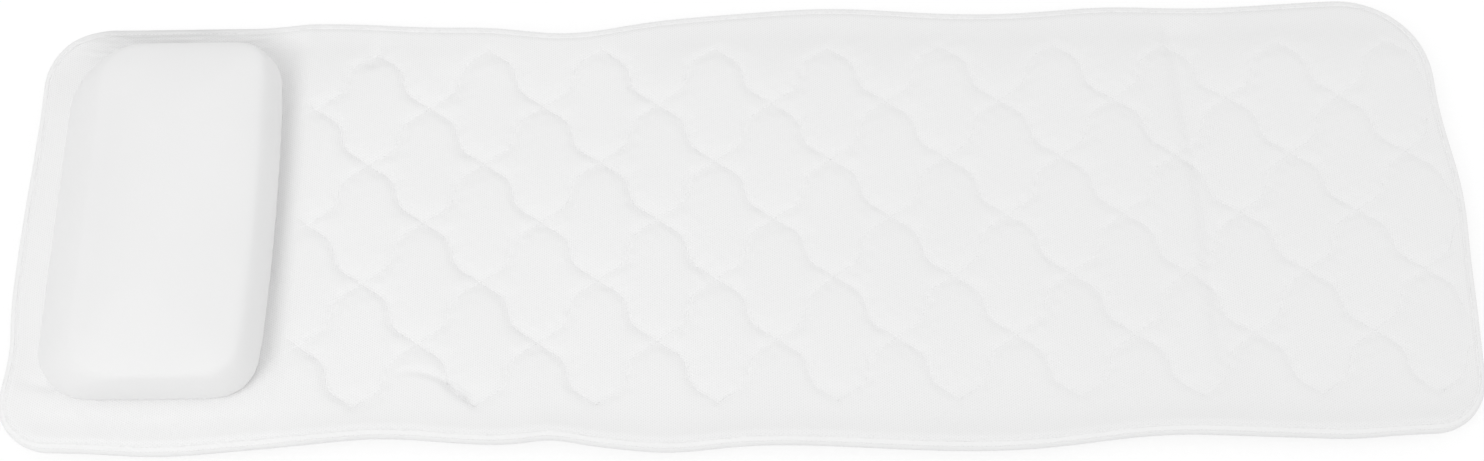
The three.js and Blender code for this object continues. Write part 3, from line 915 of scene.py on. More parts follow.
def mat_grid(x_from, x_to, step):
    """Grid of x and y over a length of the mat, just inside the binding's fold."""
    x = stations(x_from, x_to, step)[:, None]
    stretched = x * FOOT_END / (FOOT_END - LAYER_INSET)
    near = edge_y(stretched, NEAR) + LAYER_INSET
    far = edge_y(stretched, FAR) - LAYER_INSET
    share = np.linspace(0, 1, steps_in(2 * HALF_WIDTH, step) + 1)[None, :]
    y = near + (far - near) * share
    return np.broadcast_to(x, y.shape), y


print("lengths", {span: round(x_to - x_from, 4) for span, (x_from, x_to) in SPANS.items()}, "m")

# %% Mesh helpers
def places_of(mesh):
    """Vertex places as an array."""
    places = np.zeros(len(mesh.vertices) * 3)
    mesh.vertices.foreach_get("co", places)
    return places.reshape(-1, 3)


def set_places(mesh, places):
    """Moves every vertex of the mesh."""
    mesh.vertices.foreach_set("co", places.ravel())
    mesh.update()


def edge_ends(mesh):
    """The two vertex numbers of every edge."""
    ends = np.zeros(len(mesh.edges) * 2, np.int32)
    mesh.edges.foreach_get("vertices", ends)
    return ends.reshape(-1, 2)


def remember(mesh, name, vectors):
    """Keeps a vector for every vertex, for the patterns that follow the cloth."""
    kept = mesh.attributes.new(name, "FLOAT_VECTOR", "POINT")
    kept.data.foreach_set("vector", vectors.astype(np.float32).ravel())


def add_piece(name, points, faces, material):
    """Smooth mesh piece at the origin that remembers each point's place on the flat cloth."""
    mesh = bpy.data.meshes.new(name)
    mesh.from_pydata(points, [], faces)
    mesh.materials.append(material)
    mesh.shade_smooth()
    remember(mesh, PLACE, places_of(mesh))
    return add_object(name, mesh)


def keep_edge_crisp(mesh, rim):
    """Marks the rim of a piece as sharp, so its wall doesn't darken the face beside it."""
    on_rim = np.isin(edge_ends(mesh), rim).all(1)
    mesh.attributes.new("sharp_edge", "BOOLEAN", "EDGE").data.foreach_set("value", on_rim)


# %% Closed layer from a grid
def quads_of(index):
    """Faces of a grid of vertex numbers, seen from above."""
    return np.stack([index[:-1, :-1], index[1:, :-1], index[1:, 1:], index[:-1, 1:]], -1).reshape(-1, 4)


def rim_of(index):
    """Vertex numbers round the rim of a grid, anticlockwise from above."""
    return np.concatenate([index[:-1, 0], index[-1, :-1], index[:0:-1, -1], index[0, :0:-1]])


def add_layer(name, x, y, top, under, material, thin_out=1):
    """Closed layer between two heights over one grid, the lower face with every so many rows only."""
    index = np.arange(x.size).reshape(x.shape)
    sparse = (slice(None, None, thin_out), slice(None, None, thin_out))
    low_index = np.arange(index[sparse].size).reshape(index[sparse].shape) + x.size
    upper = np.stack([x, y, top], -1).reshape(-1, 3)
    lower = np.stack([x[sparse], y[sparse], under[sparse]], -1).reshape(-1, 3)
    rim, low_rim = rim_of(index), rim_of(low_index)
    faces = quads_of(index).tolist() + quads_of(low_index)[:, ::-1].tolist()
    for number, low_here in enumerate(low_rim):
        low_after = low_rim[(number + 1) % len(low_rim)]
        along = [rim[(number * thin_out + step) % len(rim)] for step in range(thin_out + 1)]
        faces.append([int(low_here), int(low_after)] + [int(spot) for spot in reversed(along)])
    piece = add_piece(name, np.concatenate([upper, lower]).tolist(), faces, material)
    keep_edge_crisp(piece.data, np.concatenate([rim, low_rim]))
    print(name, len(faces), "faces, top", round(float(top.max()), 4))
    return piece


# %% Quilted body of the mat
MAT_STEP = 2.2 * MM
LAYER_GAP = 0.1 * MM
LEAST_THICKNESS = 1 * MM
# How much fainter the sewn lines are at the foot end, where the quilting has been pressed flatter.
FAINTER = 0.55


def remember_lattice(mesh):
    """Keeps each vertex's lattice place and how strongly the lines show there, less towards the foot."""
    x, y, _ = places_of(mesh).T
    strength = soft_step(x, *QUILT_FADE) * (1 - FAINTER * soft_step(x, *FLATTER_REACH))
    remember(mesh, STITCH_PLACE, np.stack([*lattice_of(x, y), strength], 1))


quilted = {}
for span, (x_from, x_to) in SPANS.items():
    grid_x, grid_y = mat_grid(x_from, x_to, MAT_STEP)
    under = mat_under(grid_x, grid_y) + BASE_CLOTH + LAYER_GAP
    top = np.maximum(mat_top(grid_x, grid_y), under + LEAST_THICKNESS)
    quilted[span] = add_layer(f"quilted_{span}", grid_x, grid_y, top, under, QUILTED_MESH, THIN_OUT)
    remember_lattice(quilted[span].data)

# %% [markdown]
# ## The underside cloth
# A thin knit closes the mat beneath and carries the cups. It is the same grid, coarser, one cloth thick,
# with the dimples that the quilting pulls into it.

# %% Underside panels
UNDERSIDE_STEP = 5 * MM
underside = {}
for span, (x_from, x_to) in SPANS.items():
    grid_x, grid_y = mat_grid(x_from, x_to, UNDERSIDE_STEP)
    low = mat_under(grid_x, grid_y)
    underside[span] = add_layer(f"underside_{span}", grid_x, grid_y, low + BASE_CLOTH, low, UNDERSIDE_MESH)

# %% [markdown]
# ## The edge binding
# A woven tape is folded over the raw edges of all the layers and sewn through. Its section, a flat U with
# a rounded fold, is carried along the outline. The sewing draws the tape in at every stitch, so a small
# ripple runs along it. It could be a curve with a bevel, but plain rings of points let the tape follow
# the pressed border and keep its ribs straight.

# %% Path round one end
TAPE_STEP = 4 * MM


def steps_along(start, stop, length):
    """Even steps from start to stop, as many as a length of tape needs."""
    return np.linspace(start, stop, int(length / TAPE_STEP) + 1)


def arc(centre_x, centre_y, radius, start, stop):
    """Points on a quarter circle."""
    angles = np.radians(steps_along(start, stop, radius * math.pi / 2))
    return np.stack([centre_x + radius * np.cos(angles), centre_y + radius * np.sin(angles)], 1)


def long_edge(x_from, x_to, side):
    """Points along one long edge."""
    x = steps_along(x_from, x_to, abs(x_to - x_from))
    return np.stack([x, edge_y(x, side)], 1)


def edge_path(x_from, corners, end):
    """Outline from the near edge at x_from, round one end of the mat and back along the far edge."""
    toward = math.copysign(1, end)
    near_x, far_x = (end - toward * corners[side] for side in (NEAR, FAR))
    near_y = float(edge_y(np.array(near_x), NEAR)) + corners[NEAR]
    far_y = float(edge_y(np.array(far_x), FAR)) - corners[FAR]
    sideways, facing = (-90, 0) if end > 0 else (270, 180)
    straight = steps_along(near_y, far_y, far_y - near_y)
    return np.concatenate([
        long_edge(x_from, near_x, NEAR),
        arc(near_x, near_y, corners[NEAR], sideways, facing)[1:],
        np.stack([np.full_like(straight, end), straight], 1)[1:],
        arc(far_x, far_y, corners[FAR], facing, 90)[1:],
        long_edge(far_x, x_from, FAR)[1:],
    ])


def inward(path, end):
    """Direction square to the path and into the mat at each point; the two tapes agree where they meet."""
    along = np.gradient(path, axis=0)
    toward = math.copysign(1, end)
    for place, side in ((0, NEAR), (-1, FAR)):
        span = np.array([path[place, 0] - MM, path[place, 0] + MM])
        slope = np.diff(edge_y(span, side))[0] / (2 * MM)
        along[place] = np.array([1, slope]) * -side * toward
    along /= np.linalg.norm(along, axis=1)[:, None]
    return np.stack([-along[:, 1], along[:, 0]], 1) * toward


def run_of(path):
    """Length along a path up to each of its points."""
    return np.concatenate([[0], np.cumsum(np.linalg.norm(np.diff(path, axis=0), axis=1))])


PATHS = {
    "back_and_seat": (edge_path(FOOT_FOLD, HEAD_CORNER, HEAD_END), HEAD_END),
    "foot": (edge_path(FOOT_FOLD, FOOT_CORNER, FOOT_END), FOOT_END),
}
print("tape", {span: round(float(run_of(path)[-1]), 3) for span, (path, _) in PATHS.items()}, "m long")

# %% Tape section
TAPE_WIDTH = 7.5 * MM
TAPE_ROOM = 0.2 * MM
FOLD_STEPS = 9
# How deep the fold is for its height, which would be 1 for a half circle.
FOLD_DEPTH = 0.6


def tape_section():
    """Closed section of the folded tape: how far in from the edge, and height."""
    low = BASE_LOW - TAPE - TAPE_ROOM
    high = EDGE_HEIGHT + TAPE + TAPE_ROOM
    fold = (high - low) / 2
    middle = (high + low) / 2
    turns = np.radians(np.linspace(-90, 90, FOLD_STEPS))
    outer = [(fold * FOLD_DEPTH * (1 - math.cos(t)), middle + fold * math.sin(t)) for t in turns]
    inner = [(inset + TAPE, z + TAPE * (1 if z < middle else -1)) for inset, z in reversed(outer)]
    tip = [(TAPE_WIDTH - TAPE / 2, 0), (TAPE_WIDTH, TAPE / 3), (TAPE_WIDTH, TAPE)]
    upper_tip = [(inset, high - down) for inset, down in tip]
    lower_tip = [(inset, low + up) for inset, up in reversed(tip)]
    return np.array(lower_tip + outer + upper_tip + inner)


TAPE_SECTION = tape_section()
TAPE_LOW, TAPE_HIGH = TAPE_SECTION[:, 1].min(), TAPE_SECTION[:, 1].max()
print("tape section", len(TAPE_SECTION), "points,", round((TAPE_HIGH - TAPE_LOW) / MM, 1), "mm high")

# %% Binding
# The sewing draws the tape in: how far, how often, and how far from the tape's ends that begins.
DRAW = 0.2 * MM
DRAW_LENGTH = 11 * MM
DRAW_FADE = 0.02


def tape_faces(steps, count, end):
    """Quads along the tape, and a face that closes each end."""
    ring = np.arange(count)
    start = (np.arange(steps - 1) * count)[:, None]
    here, after = start + ring, start + np.roll(ring, -1)
    quads = np.stack([here, here + count, after + count, after], -1).reshape(-1, 4)
    faces = quads.tolist() + [ring.tolist(), (ring[::-1] + (steps - 1) * count).tolist()]
    return faces if end > 0 else [face[::-1] for face in faces]


def lay_uv(mesh, u, v):
    """UV map that runs along the tape in metres."""
    corners = np.zeros(len(mesh.loops), np.int32)
    mesh.loops.foreach_get("vertex_index", corners)
    layer = mesh.uv_layers.new(name=ALONG_TAPE)
    layer.data.foreach_set("uv", np.stack([u[corners], v[corners]], 1).astype(np.float32).ravel())


def add_tape(name, path, end):
    """Folded tape along the path, with the ripple that its sewing draws into it."""
    run, count = run_of(path), len(TAPE_SECTION)
    draw = DRAW * ripple(run, np.zeros_like(run), DRAW_LENGTH, seed=5)
    draw = draw * soft_step(np.minimum(run, run[-1] - run), 0, DRAW_FADE)
    spots = path[:, None, :] + inward(path, end)[:, None, :] * TAPE_SECTION[None, :, 0:1]
    up = (TAPE_SECTION[None, :, 1] - TAPE_LOW) / (TAPE_HIGH - TAPE_LOW)
    lie, pressed = mat_lie(*path.T)[:, None], pressed_border(*path.T)[:, None]
    z = TAPE_SECTION[None, :, 1] + lie - pressed * up + draw[:, None] * (2 * up - 1)
    points = np.concatenate([spots, z[:, :, None]], 2).reshape(-1, 3)
    piece = add_piece(name, points.tolist(), tape_faces(len(path), count, end), BINDING_TAPE)
    keep_edge_crisp(piece.data, np.r_[:count, len(points) - count:len(points)])
    across = np.linspace(0, 2 * TAPE_WIDTH, count)
    lay_uv(piece.data, np.repeat(run, count), np.tile(across, len(path)))
    print(name, len(piece.data.polygons), "faces")
    return piece


binding = {span: add_tape(f"binding_{span}", *path_and_end) for span, path_and_end in PATHS.items()}

# %% [markdown]
# ## Stitches
# The quilting and the binding are sewn with thousands of small stitches, far too many to model one by
# one. Geometry Nodes follow each sewn line: the line is stepped at the stitch pitch, a small grain of
# thread is set along it at every step, and the grains become one plain mesh for each length of the mat.

# %% Stitch tree
GRAIN_SIDES = 6
GRAIN_RINGS = 4
# Each stitch is between these shares of its full size.
STITCH_SIZES = (0.88, 1.08)


def stitch_tree():
    """Geometry Nodes tree that turns polylines into rows of stitches."""
    inputs = {"Lines": "Geometry", "Pitch": "Float", "Stitch Length": "Float", "Thread": "Float",
              "Seed": "Int", "Finish": "Material"}
    tree, start, end = new_group("rows_of_stitches", inputs, {"Stitches": "Geometry"}, "GeometryNodeTree")
    curves = add_node(tree, "GeometryNodeMeshToCurve", {0: start["Lines"]})
    pitch = {"Curve": curves.outputs[0], "Length": start["Pitch"]}
    steps = add_node(tree, "GeometryNodeResampleCurve", pitch, mode="LENGTH")
    tangent = add_node(tree, "GeometryNodeInputTangent")
    turn = add_node(tree, "FunctionNodeAlignRotationToVector", {"Vector": tangent.outputs[0]}, axis="X")
    shape = {"Segments": GRAIN_SIDES, "Rings": GRAIN_RINGS, "Radius": 0.5}
    grain = add_node(tree, "GeometryNodeMeshUVSphere", shape)
    sizes = {0: start["Stitch Length"], 1: start["Thread"], 2: start["Thread"]}
    size = add_node(tree, "ShaderNodeCombineXYZ", sizes)
    stitch = {"Geometry": grain.outputs["Mesh"], "Scale": size.outputs[0]}
    thread = add_node(tree, "GeometryNodeTransform", stitch)
    spread = {"Seed": start["Seed"], 2: STITCH_SIZES[0], 3: STITCH_SIZES[1]}
    vary = add_node(tree, "FunctionNodeRandomValue", spread, data_type="FLOAT")
    rows = add_node(tree, "GeometryNodeInstanceOnPoints", {
        "Points": steps.outputs[0], "Instance": thread.outputs[0], "Rotation": turn.outputs[0],
        "Scale": vary.outputs[1]})
    real = add_node(tree, "GeometryNodeRealizeInstances", {0: rows.outputs[0]})
    smooth = add_node(tree, "GeometryNodeSetShadeSmooth", {0: real.outputs[0]})
    done = add_node(tree, "GeometryNodeSetMaterial", {0: smooth.outputs[0], "Material": start["Finish"]})
    fill_inputs(tree, end, {0: done.outputs[0]})
    return tree


STITCH_TREE = stitch_tree()
print(STITCH_TREE.name, len(STITCH_TREE.nodes), "nodes")

# %% Sewing
def grown_by(source, tree, inputs, name):
    """Plain mesh piece that a Geometry Nodes tree makes from a source object, which is then removed."""
    sockets = {item.name: item.identifier for item in tree.interface.items_tree if item.in_out == "INPUT"}
    modifier = source.modifiers.new(name, "NODES")
    modifier.node_group = tree
    for label, value in inputs.items():
        modifier[sockets[label]] = value
    source.update_tag()
    ready = source.evaluated_get(bpy.context.evaluated_depsgraph_get())
    mesh = bpy.data.meshes.new_from_object(ready)
    mesh.name = name
    bpy.data.objects.remove(source)
    remember(mesh, PLACE, places_of(mesh))
    print(name, len(mesh.polygons), "faces")
    return add_object(name, mesh)


def sew(name, lines, pitch, length, thread, seed):
    """Rows of stitches along polylines."""
    points = np.concatenate(lines)
    firsts = np.cumsum([0] + [len(line) for line in lines[:-1]])
    edges = [(first + k, first + k + 1) for first, line in zip(firsts, lines) for k in range(len(line) - 1)]
    mesh = bpy.data.meshes.new("sewn_lines")
    mesh.from_pydata(points.tolist(), edges, [])
    inputs = {"Pitch": pitch, "Stitch Length": length, "Thread": thread, "Seed": seed, "Finish": WHITE_THREAD}
    return grown_by(add_object("sewn_lines", mesh), STITCH_TREE, inputs, name)


# %% Quilting stitches
THREAD = 0.6 * MM
# Pitch, length and thickness of a quilting stitch, and how far above the face it lies for its thickness.
QUILTING_STITCH = (4.2 * MM, 3.4 * MM, THREAD)
PROUD = 0.1
STITCH_INSIDE = 12 * MM
# The lattice numbers that cover the mat, the step along a line, the slip at the last rows, and the fewest
# points that make a line.
LATTICE_NUMBERS = (-14, 24)
LATTICE_STEP = 0.06
ROW_SLIP = 0.01
FEWEST_POINTS = 5


def quilting_lines(x_from, x_to):
    """Polylines of every stitch line over one length of the mat, laid on the quilted face."""
    steps = np.arange(*LATTICE_NUMBERS, LATTICE_STEP)
    lines = []
    for number in range(*LATTICE_NUMBERS):
        fixed = np.full_like(steps, number)
        for u, v in ((fixed, steps), (steps, fixed)):
            x, y = lattice_point(u, v)
            row = u - v
            sewn = (row >= -ROW_SLIP) & (row <= STITCH_ROWS + ROW_SLIP) & (x > x_from) & (x < x_to)
            sewn &= edge_distance(x, y) > STITCH_INSIDE
            if sewn.sum() >= FEWEST_POINTS:
                x, y = x[sewn], y[sewn]
                lines.append(np.stack([x, y, mat_top(x, y) + THREAD * PROUD], 1))
    return lines


quilting = {}
for span, (x_from, x_to) in SPANS.items():
    lines = quilting_lines(max(x_from, QUILT_FADE[1]), x_to)
    quilting[span] = sew(f"quilting_thread_{span}", lines, *QUILTING_STITCH, seed=7)

# %% Binding stitches
BINDING_STITCH_IN = 5.6 * MM
BINDING_PROUD = 0.2
# Pitch, length and thickness of the stitches that hold the tape and the patches.
PLAIN_STITCH = (3.6 * MM, 2.9 * MM, 0.7 * MM)


def binding_lines(path, end):
    """The row of stitches on the tape's upper face and the one beneath it."""
    spots = path + inward(path, end) * BINDING_STITCH_IN
    lie = mat_lie(*path.T)
    upper = TAPE_HIGH + THREAD * BINDING_PROUD - pressed_border(*path.T)
    lower = np.full_like(lie, TAPE_LOW - THREAD * BINDING_PROUD)
    return [np.column_stack([spots, level + lie]) for level in (upper, lower)]


binding_sewing = {}
for span, path_and_end in PATHS.items():
    lines = binding_lines(*path_and_end)
    binding_sewing[span] = sew(f"binding_thread_{span}", lines, *PLAIN_STITCH, seed=9)

# %% [markdown]
# ## Uneven ends
# The head and foot ends aren't quite straight either. Every layer, its tape and its stitches have to share
# the same waves, so the finished meshes are moved together, by less and less away from the end.

# %% Uneven ends
# Each wave of an end, in millimetres: a place across the mat, how far out it swells and its spread.
END_WAVES = {
    HEAD_END: [(-115, -4, 32), (110, -3, 80)],
    FOOT_END: [(-160, -4, 60), (10, 4, 50), (115, -5, 60)],
}
END_REACH = 120 * MM
for pieces in (quilted, underside, binding, quilting, binding_sewing):
    for piece in pieces.values():
        places = places_of(piece.data)
        for end, waves in END_WAVES.items():
            outward = math.copysign(1, end)
            share = soft_step(outward * places[:, 0], abs(end) - END_REACH, abs(end))
            places[:, 0] += outward * share * swell(places[:, 1], waves)
        set_places(piece.data, places)
print("ends swell out by at most", max(size for waves in END_WAVES.values() for _, size, _ in waves), "mm")

# %% [markdown]
# ## The head pillow
# A block of soft foam in a smooth cloth cover, sewn down to the mat round its foot. The cover is drawn in
# at that seam and swells above it, then rounds over to a low crown. Cloth simulation gives the swell: a
# slightly small pillow is remeshed evenly, its seam is pinned, and pressure from inside fills it. After
# that the seam's small puckers are pressed in.

# %% Ring round the pillow
# Each side is drawn in at the seam, swells above it and leans in over the shoulder: how far at the seam, how
# far at the shoulder, and what share of that is a straight slope. The head side is the long slope.
PILLOW_SIDES = {
    "head": (0, 50 * MM, 0.6),
    "foot": (6 * MM, 15 * MM, 0.1),
    "near": (4 * MM, 9 * MM, 0.1),
    "far": (4 * MM, 9 * MM, 0.1),
}
PILLOW_CORNERS = {
    ("foot", "far"): 28 * MM, ("head", "far"): 42 * MM, ("head", "near"): 48 * MM, ("foot", "near"): 35 * MM,
}
# Points round a corner, and along the foot side from corner to corner, which bows in towards its ends.
CORNER_POINTS = 9
PILLOW_BOW = 5 * MM


def pillow_ring(insets, z):
    """Rounded rectangle round the pillow at one height, with how far each side lies in."""
    reach = {"head": PILLOW_LOW.x + insets["head"], "foot": PILLOW_HIGH.x - insets["foot"],
             "near": PILLOW_LOW.y + insets["near"], "far": PILLOW_HIGH.y - insets["far"]}
    ring = []
    for turn, ((end, side), corner) in enumerate(PILLOW_CORNERS.items()):
        radius = max(corner - min(insets[end], insets[side]), corner / 4)
        middle_x = reach[end] + radius * (1 if end == "head" else -1)
        middle_y = reach[side] + radius * (1 if side == "near" else -1)
        for angle in np.radians(90 * turn + np.linspace(0, 90, CORNER_POINTS)):
            y = middle_y + radius * math.sin(angle)
            ring.append((middle_x + radius * math.cos(angle), y, z))
    ring += [(reach["foot"], y, z) for y in np.linspace(ring[-1][1], ring[0][1], CORNER_POINTS)[1:-1]]
    foot_x = reach["foot"] - PILLOW_CORNER
    return [(x - PILLOW_BOW * (y / PILLOW_HIGH.y) ** 2 if x > foot_x else x, y, z) for x, y, z in ring]


print("a ring has", len(pillow_ring(dict.fromkeys(PILLOW_SIDES, 0), PILLOW_LOW.z)), "points")

# %% Pillow shape
PILLOW_SHOULDER_Z = 79 * MM
PILLOW_SLACK = 1 * MM
# Up to what share of its height a side is drawn in, and how full its curve is.
PILLOW_SWELL = 0.4
PILLOW_FULLNESS = 2.5
# Rings up the sides, as angles round the shoulder's curve, and over the crown, as shares of the way in.
SIDE_RINGS = (0, 10, 20, 30, 40, 50, 60, 70, 78)
CROWN_RINGS = (0.1, 0.25, 0.45, 0.65, 0.82)


def lean(seam, shoulder, straight, up):
    """How far a side lies in at a share of its height."""
    drawn_in = seam * max(0, 1 - up / PILLOW_SWELL) ** 2
    rounded = 1 - (1 - up ** PILLOW_FULLNESS) ** (1 / PILLOW_FULLNESS)
    return drawn_in + shoulder * (straight * up + (1 - straight) * rounded)


def pillow_rings(slack):
    """Rings from inside the mat up the sides, round the shoulder and over the crown."""
    low, shoulder, crown = PILLOW_LOW.z, PILLOW_SHOULDER_Z - slack, PILLOW_HIGH.z - slack
    half = (PILLOW_HIGH.x - PILLOW_LOW.x) / 2
    rings = [pillow_ring({side: seam for side, (seam, _, _) in PILLOW_SIDES.items()}, low - PILLOW_SINK)]
    for up in np.sin(np.radians(SIDE_RINGS)):
        insets = {side: slack * up + lean(*shape, up) for side, shape in PILLOW_SIDES.items()}
        rings.append(pillow_ring(insets, low + (shoulder - low) * up))
    for share in CROWN_RINGS:
        insets = {side: slack + inset + (half - inset) * share
                  for side, (_, inset, _) in PILLOW_SIDES.items()}
        rings.append(pillow_ring(insets, shoulder + (crown - shoulder) * (1 - (1 - share) ** 2)))
    return rings


def pillow_start():
    """Closed pillow a little smaller than the finished one."""
    rings = pillow_rings(PILLOW_SLACK)
    count = len(rings[0])
    ring = np.arange(count)
    faces = [list(range(count))[::-1], list(range(count * (len(rings) - 1), count * len(rings)))]
    for level in range(len(rings) - 1):
        here, after = ring + level * count, np.roll(ring, -1) + level * count
        faces += np.stack([here, after, after + count, here + count], 1).tolist()
    points = [point for each in rings for point in each]
    return add_piece("head_pillow", points, faces, PILLOW_CLOTH)


pillow = pillow_start()
print("pillow starts with", len(pillow.data.polygons), "faces")

# %% Even mesh
PILLOW_STEP = 5 * MM


def take_shape(piece):
    """Applies the piece's modifiers by swapping in its evaluated mesh."""
    piece.update_tag()
    mesh = bpy.data.meshes.new_from_object(piece.evaluated_get(bpy.context.evaluated_depsgraph_get()))
    piece.modifiers.clear()
    piece.data = mesh


remesh = pillow.modifiers.new("even_mesh", "REMESH")
remesh.mode = "VOXEL"
remesh.voxel_size = PILLOW_STEP
take_shape(pillow)
print("pillow remeshed to", len(pillow.data.polygons), "faces")

# %% Filling the pillow
STIFFNESS = 30
BENDING = 3.0
PRESSURE = 4.0
FRAMES = 20
# The cloth is held up to this height above the seam, and nothing swells by more than this.
SEAM_HELD = 3 * MM
MOST_SWELL = 1.6 * MM
EVEN_ROUNDS = 40
# Stands in for a travel of nought, which nothing can be divided by.
NO_TRAVEL = 1e-9


def even_out(mesh, travel):
    """Averages each vertex's travel with its neighbours', which leaves the swell and takes out the dents."""
    ends = edge_ends(mesh)
    first, second = ends.T
    for _ in range(EVEN_ROUNDS):
        total, count = travel.copy(), np.ones(len(travel))
        np.add.at(total, first, travel[second])
        np.add.at(total, second, travel[first])
        np.add.at(count, ends.ravel(), 1)
        travel = total / count[:, None]
    return travel


def inflate(piece, pinned):
    """Fills a closed cloth from inside by simulation, with some vertices held and the travel capped."""
    start = places_of(piece.data)
    group = piece.vertex_groups.new(name="sewn_down")
    group.add([int(number) for number in np.flatnonzero(pinned)], 1.0, "REPLACE")
    cloth = piece.modifiers.new("cloth", "CLOTH")
    cloth.settings.vertex_group_mass = "sewn_down"
    cloth.settings.use_pressure = True
    cloth.settings.uniform_pressure_force = PRESSURE
    cloth.settings.tension_stiffness = STIFFNESS
    cloth.settings.compression_stiffness = STIFFNESS
    cloth.settings.bending_stiffness = BENDING
    cloth.settings.effector_weights.gravity = 0
    cloth.point_cache.frame_end = FRAMES
    for number in range(1, FRAMES + 1):
        bpy.context.scene.frame_set(number)
    take_shape(piece)
    travel = places_of(piece.data) - start
    size = np.linalg.norm(travel, axis=1)[:, None]
    travel = travel * np.minimum(1, MOST_SWELL / np.maximum(size, NO_TRAVEL))
    set_places(piece.data, start + even_out(piece.data, travel))
    bpy.context.scene.frame_set(1)
    return float(size.max())


held = places_of(pillow.data)[:, 2] < PILLOW_LOW.z + SEAM_HELD
print("pillow swells by at most", round(inflate(pillow, held), 4), "m before the cap")
smooth = pillow.modifiers.new("smooth", "SMOOTH")
smooth.iterations = 3
finer = pillow.modifiers.new("finer", "SUBSURF")
finer.levels = finer.render_levels = 1
take_shape(pillow)
pillow.data.shade_smooth()
print("pillow filled,", len(pillow.data.polygons), "faces")

# %% Seam puckers
# How high above the seam the puckers reach, how deep and how long they are, and where they fade at the seam.
SEAM_REACH = 16 * MM
SEAM_PUCKER = 0.18 * MM
SEAM_PUCKER_LENGTH = 15 * MM
SEAM_FADE = (-4 * MM, 4 * MM)
places = places_of(pillow.data)
normals = np.zeros(len(pillow.data.vertices) * 3)
pillow.data.vertex_normals.foreach_get("vector", normals)
above = places[:, 2] - PILLOW_LOW.z
near_seam = bell(above, SEAM_REACH) * soft_step(above, *SEAM_FADE)
pucker = SEAM_PUCKER * near_seam * ripple(places[:, 0], places[:, 1], SEAM_PUCKER_LENGTH, seed=21)
places += normals.reshape(-1, 3) * pucker[:, None]
places[:, 2] = np.maximum(places[:, 2], PILLOW_LOW.z - PILLOW_SINK)
set_places(pillow.data, places)
pillow.data.materials.clear()
pillow.data.materials.append(PILLOW_CLOTH)
remember(pillow.data, PLACE, places)
print("pillow top", round(float(places[:, 2].max()), 4), "m, seam puckers", SEAM_PUCKER, "m deep")

# %% [markdown]
# ## Suction cups and their patches
# Each cup is moulded in one piece: a thin bell, a neck and a button head. A dished cloth patch sewn to
# the underside traps the head, with the neck through its middle. Both are turned shapes, so each is drawn
# once as a section and spun. A second node tree sets a copy on every place that the CAD gives.

# %% Turned shapes
TURNED_SIDES = 32


def band(low, high, low_point, high_point):
    """Faces between two rings, either of which may be a single point on the axis."""
    faces = []
    for k in range(TURNED_SIDES):
        after = (k + 1) % TURNED_SIDES
        if low_point:
            faces.append((low, high + after, high + k))
        elif high_point:
            faces.append((low + k, low + after, high))
        else:
            faces.append((low + k, low + after, high + after, high + k))
    return faces


def turned_mesh(name, section):
    """Closed mesh of a section of radius and height, in millimetres, turned about the upright axis."""
    angles = np.arange(TURNED_SIDES) * math.tau / TURNED_SIDES
    points, starts = [], []
    for radius, z in section:
        starts.append(len(points))
        ring = [(radius * MM * math.cos(a), radius * MM * math.sin(a), z * MM) for a in angles]
        points += ring if radius else [(0.0, 0.0, z * MM)]
    faces = []
    closed = section[0][0] > 0
    for level in range(len(section) if closed else len(section) - 1):
        after = (level + 1) % len(section)
        faces += band(starts[level], starts[after], section[level][0] == 0, section[after][0] == 0)
    mesh = bpy.data.meshes.new(name)
    mesh.from_pydata(points, [], faces)
    mesh.shade_smooth()
    return mesh


CUP_SECTION = [
    (0, 5.6), (5, 5.5), (9, 4.9), (13, 3.7), (16.5, 2.2), (19, 0.8), (20, 0.05), (20.6, 0), (21.6, 0),
    (22, 0.3), (21.9, 1.0), (20.4, 2.4), (17.2, 4.5), (13.5, 6.2), (9.6, 7.5), (6, 8.2), (4.1, 8.5),
    (3.5, 8.9), (3.4, 10.2), (3.6, 10.8), (4.4, 11.0), (6.0, 11.05), (6.4, 11.4), (6.3, 12.5), (5.6, 13.2),
    (3.6, 13.6), (0, 13.7),
]
PATCH_SECTION = [
    (4.1, 9.5), (4.4, 9.3), (8.6, 9.25), (12, 9.9), (18, 11.7), (22, 12.6), (24.5, 12.9), (25, 13.2),
    (25, 13.8), (24.6, 14.0), (19.5, 13.9), (16, 13.0), (11, 11.1), (8.4, 10.5), (4.5, 10.45), (4.1, 10.25),
]
cup_mesh = turned_mesh("one_cup", CUP_SECTION)
patch_mesh = turned_mesh("one_patch", PATCH_SECTION)
print("one cup", len(cup_mesh.polygons), "faces, one patch", len(patch_mesh.polygons))

# %% Tree that sets copies on places
def copies_tree():
    """Geometry Nodes tree that sets a copy of an object on every vertex."""
    inputs = {"Places": "Geometry", "Model": "Object", "Finish": "Material"}
    tree, start, end = new_group("copies_on_places", inputs, {"Copies": "Geometry"}, "GeometryNodeTree")
    model = add_node(tree, "GeometryNodeObjectInfo", {"Object": start["Model"]})
    set_down = {"Points": start["Places"], "Instance": model.outputs["Geometry"]}
    copies = add_node(tree, "GeometryNodeInstanceOnPoints", set_down)
    real = add_node(tree, "GeometryNodeRealizeInstances", {0: copies.outputs[0]})
    done = add_node(tree, "GeometryNodeSetMaterial", {0: real.outputs[0], "Material": start["Finish"]})
    fill_inputs(tree, end, {0: done.outputs[0]})
    return tree


COPIES_TREE = copies_tree()
print(COPIES_TREE.name, len(COPIES_TREE.nodes), "nodes")

# %% Cups, patches and patch stitches
# Radius and height of the ring of stitches round a patch, in millimetres.
PATCH_STITCH = (23.0, 12.75)
PATCH_POINTS = 49
SECTIONS = ("back", "seat", "foot")


def middle_of(node):
    """Middle of a CAD node's box."""
    return (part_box(node)[0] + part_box(node)[1]) / 2


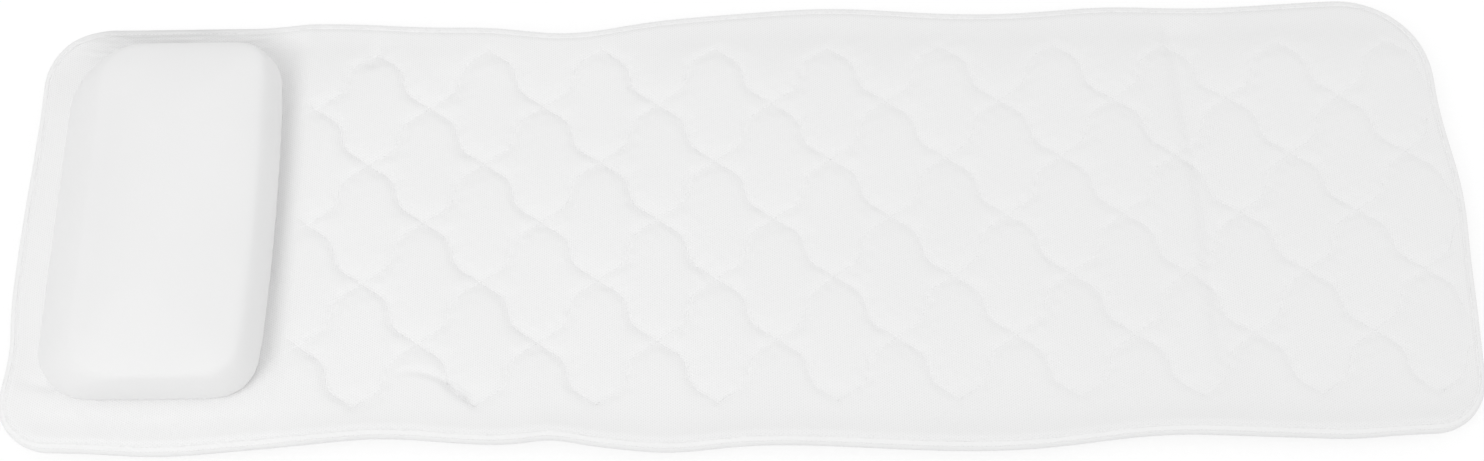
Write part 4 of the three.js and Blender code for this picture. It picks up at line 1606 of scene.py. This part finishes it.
def set_copies(name, model, nodes, finish):
    """One mesh of copies of a model, each centred over a CAD node."""
    mesh = bpy.data.meshes.new("places")
    mesh.from_pydata([(*middle_of(node).xy, 0.0) for node in nodes], [], [])
    return grown_by(add_object("places", mesh), COPIES_TREE, {"Model": model, "Finish": finish}, name)


def patch_ring(node):
    """Line of stitches round one patch."""
    turns = np.linspace(0, math.tau, PATCH_POINTS)
    radius, level = (value * MM for value in PATCH_STITCH)
    middle = middle_of(node)
    x, y = middle.x + radius * np.cos(turns), middle.y + radius * np.sin(turns)
    return np.stack([x, y, np.full_like(turns, level)], 1)


models = {"cup": add_object("one_cup", cup_mesh), "patch": add_object("one_patch", patch_mesh)}
cups, patches, patch_sewing = {}, {}, {}
for section in SECTIONS:
    cup_nodes = sorted(node for node in frame["nodes"] if node.startswith(f"suction_cup_{section}"))
    patch_nodes = [node.replace("suction_cup", "cup_patch") for node in cup_nodes]
    cups[section] = set_copies(f"suction_cups_{section}", models["cup"], cup_nodes, CLEAR_CUP)
    patches[section] = set_copies(f"cup_patches_{section}", models["patch"], patch_nodes, UNDERSIDE_MESH)
    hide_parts(*cup_nodes)
    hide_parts(*patch_nodes)
    rings = [patch_ring(node) for node in patch_nodes]
    patch_sewing[section] = sew(f"patch_thread_{section}", rings, *PLAIN_STITCH, seed=13)
    print(section, len(cup_nodes), "cups")
for model in models.values():
    bpy.data.objects.remove(model)

# %% [markdown]
# ## Riding on the frame
# Stiff or small pieces ride on one body: the cups, their patches and their stitches on their own section,
# and the pillow on the back section. The mat's layers run across the folds; here their transforms are
# applied and they stay as they lie.

# %% Bodies
SLOTS = ((quilted, "quilted_mesh"), (underside, "base_mesh"), (binding, "binding_tape"),
         (quilting, "quilted_mesh"), (binding_sewing, "binding_tape"))
for layers, slot in SLOTS:
    for span, piece in layers.items():
        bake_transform(piece)
for section in SECTIONS:
    for piece, slot in ((cups[section], "cup_pvc"), (patches[section], "base_mesh"),
                        (patch_sewing[section], "base_mesh")):
        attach(piece, f"{section}_section")
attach(pillow, "back_section")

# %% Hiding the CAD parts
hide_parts("quilted_top_back", "quilted_top_seat", "filling_back", "filling_seat")
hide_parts("quilted_top_foot", "filling_foot")
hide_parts("base_panel_back", "base_panel_seat")
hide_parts("base_panel_foot")
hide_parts("edge_binding_head", "edge_binding_seat_near", "edge_binding_seat_far")
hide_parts("edge_binding_foot")
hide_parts("pillow_cover", "pillow_foam", "pillow_base")
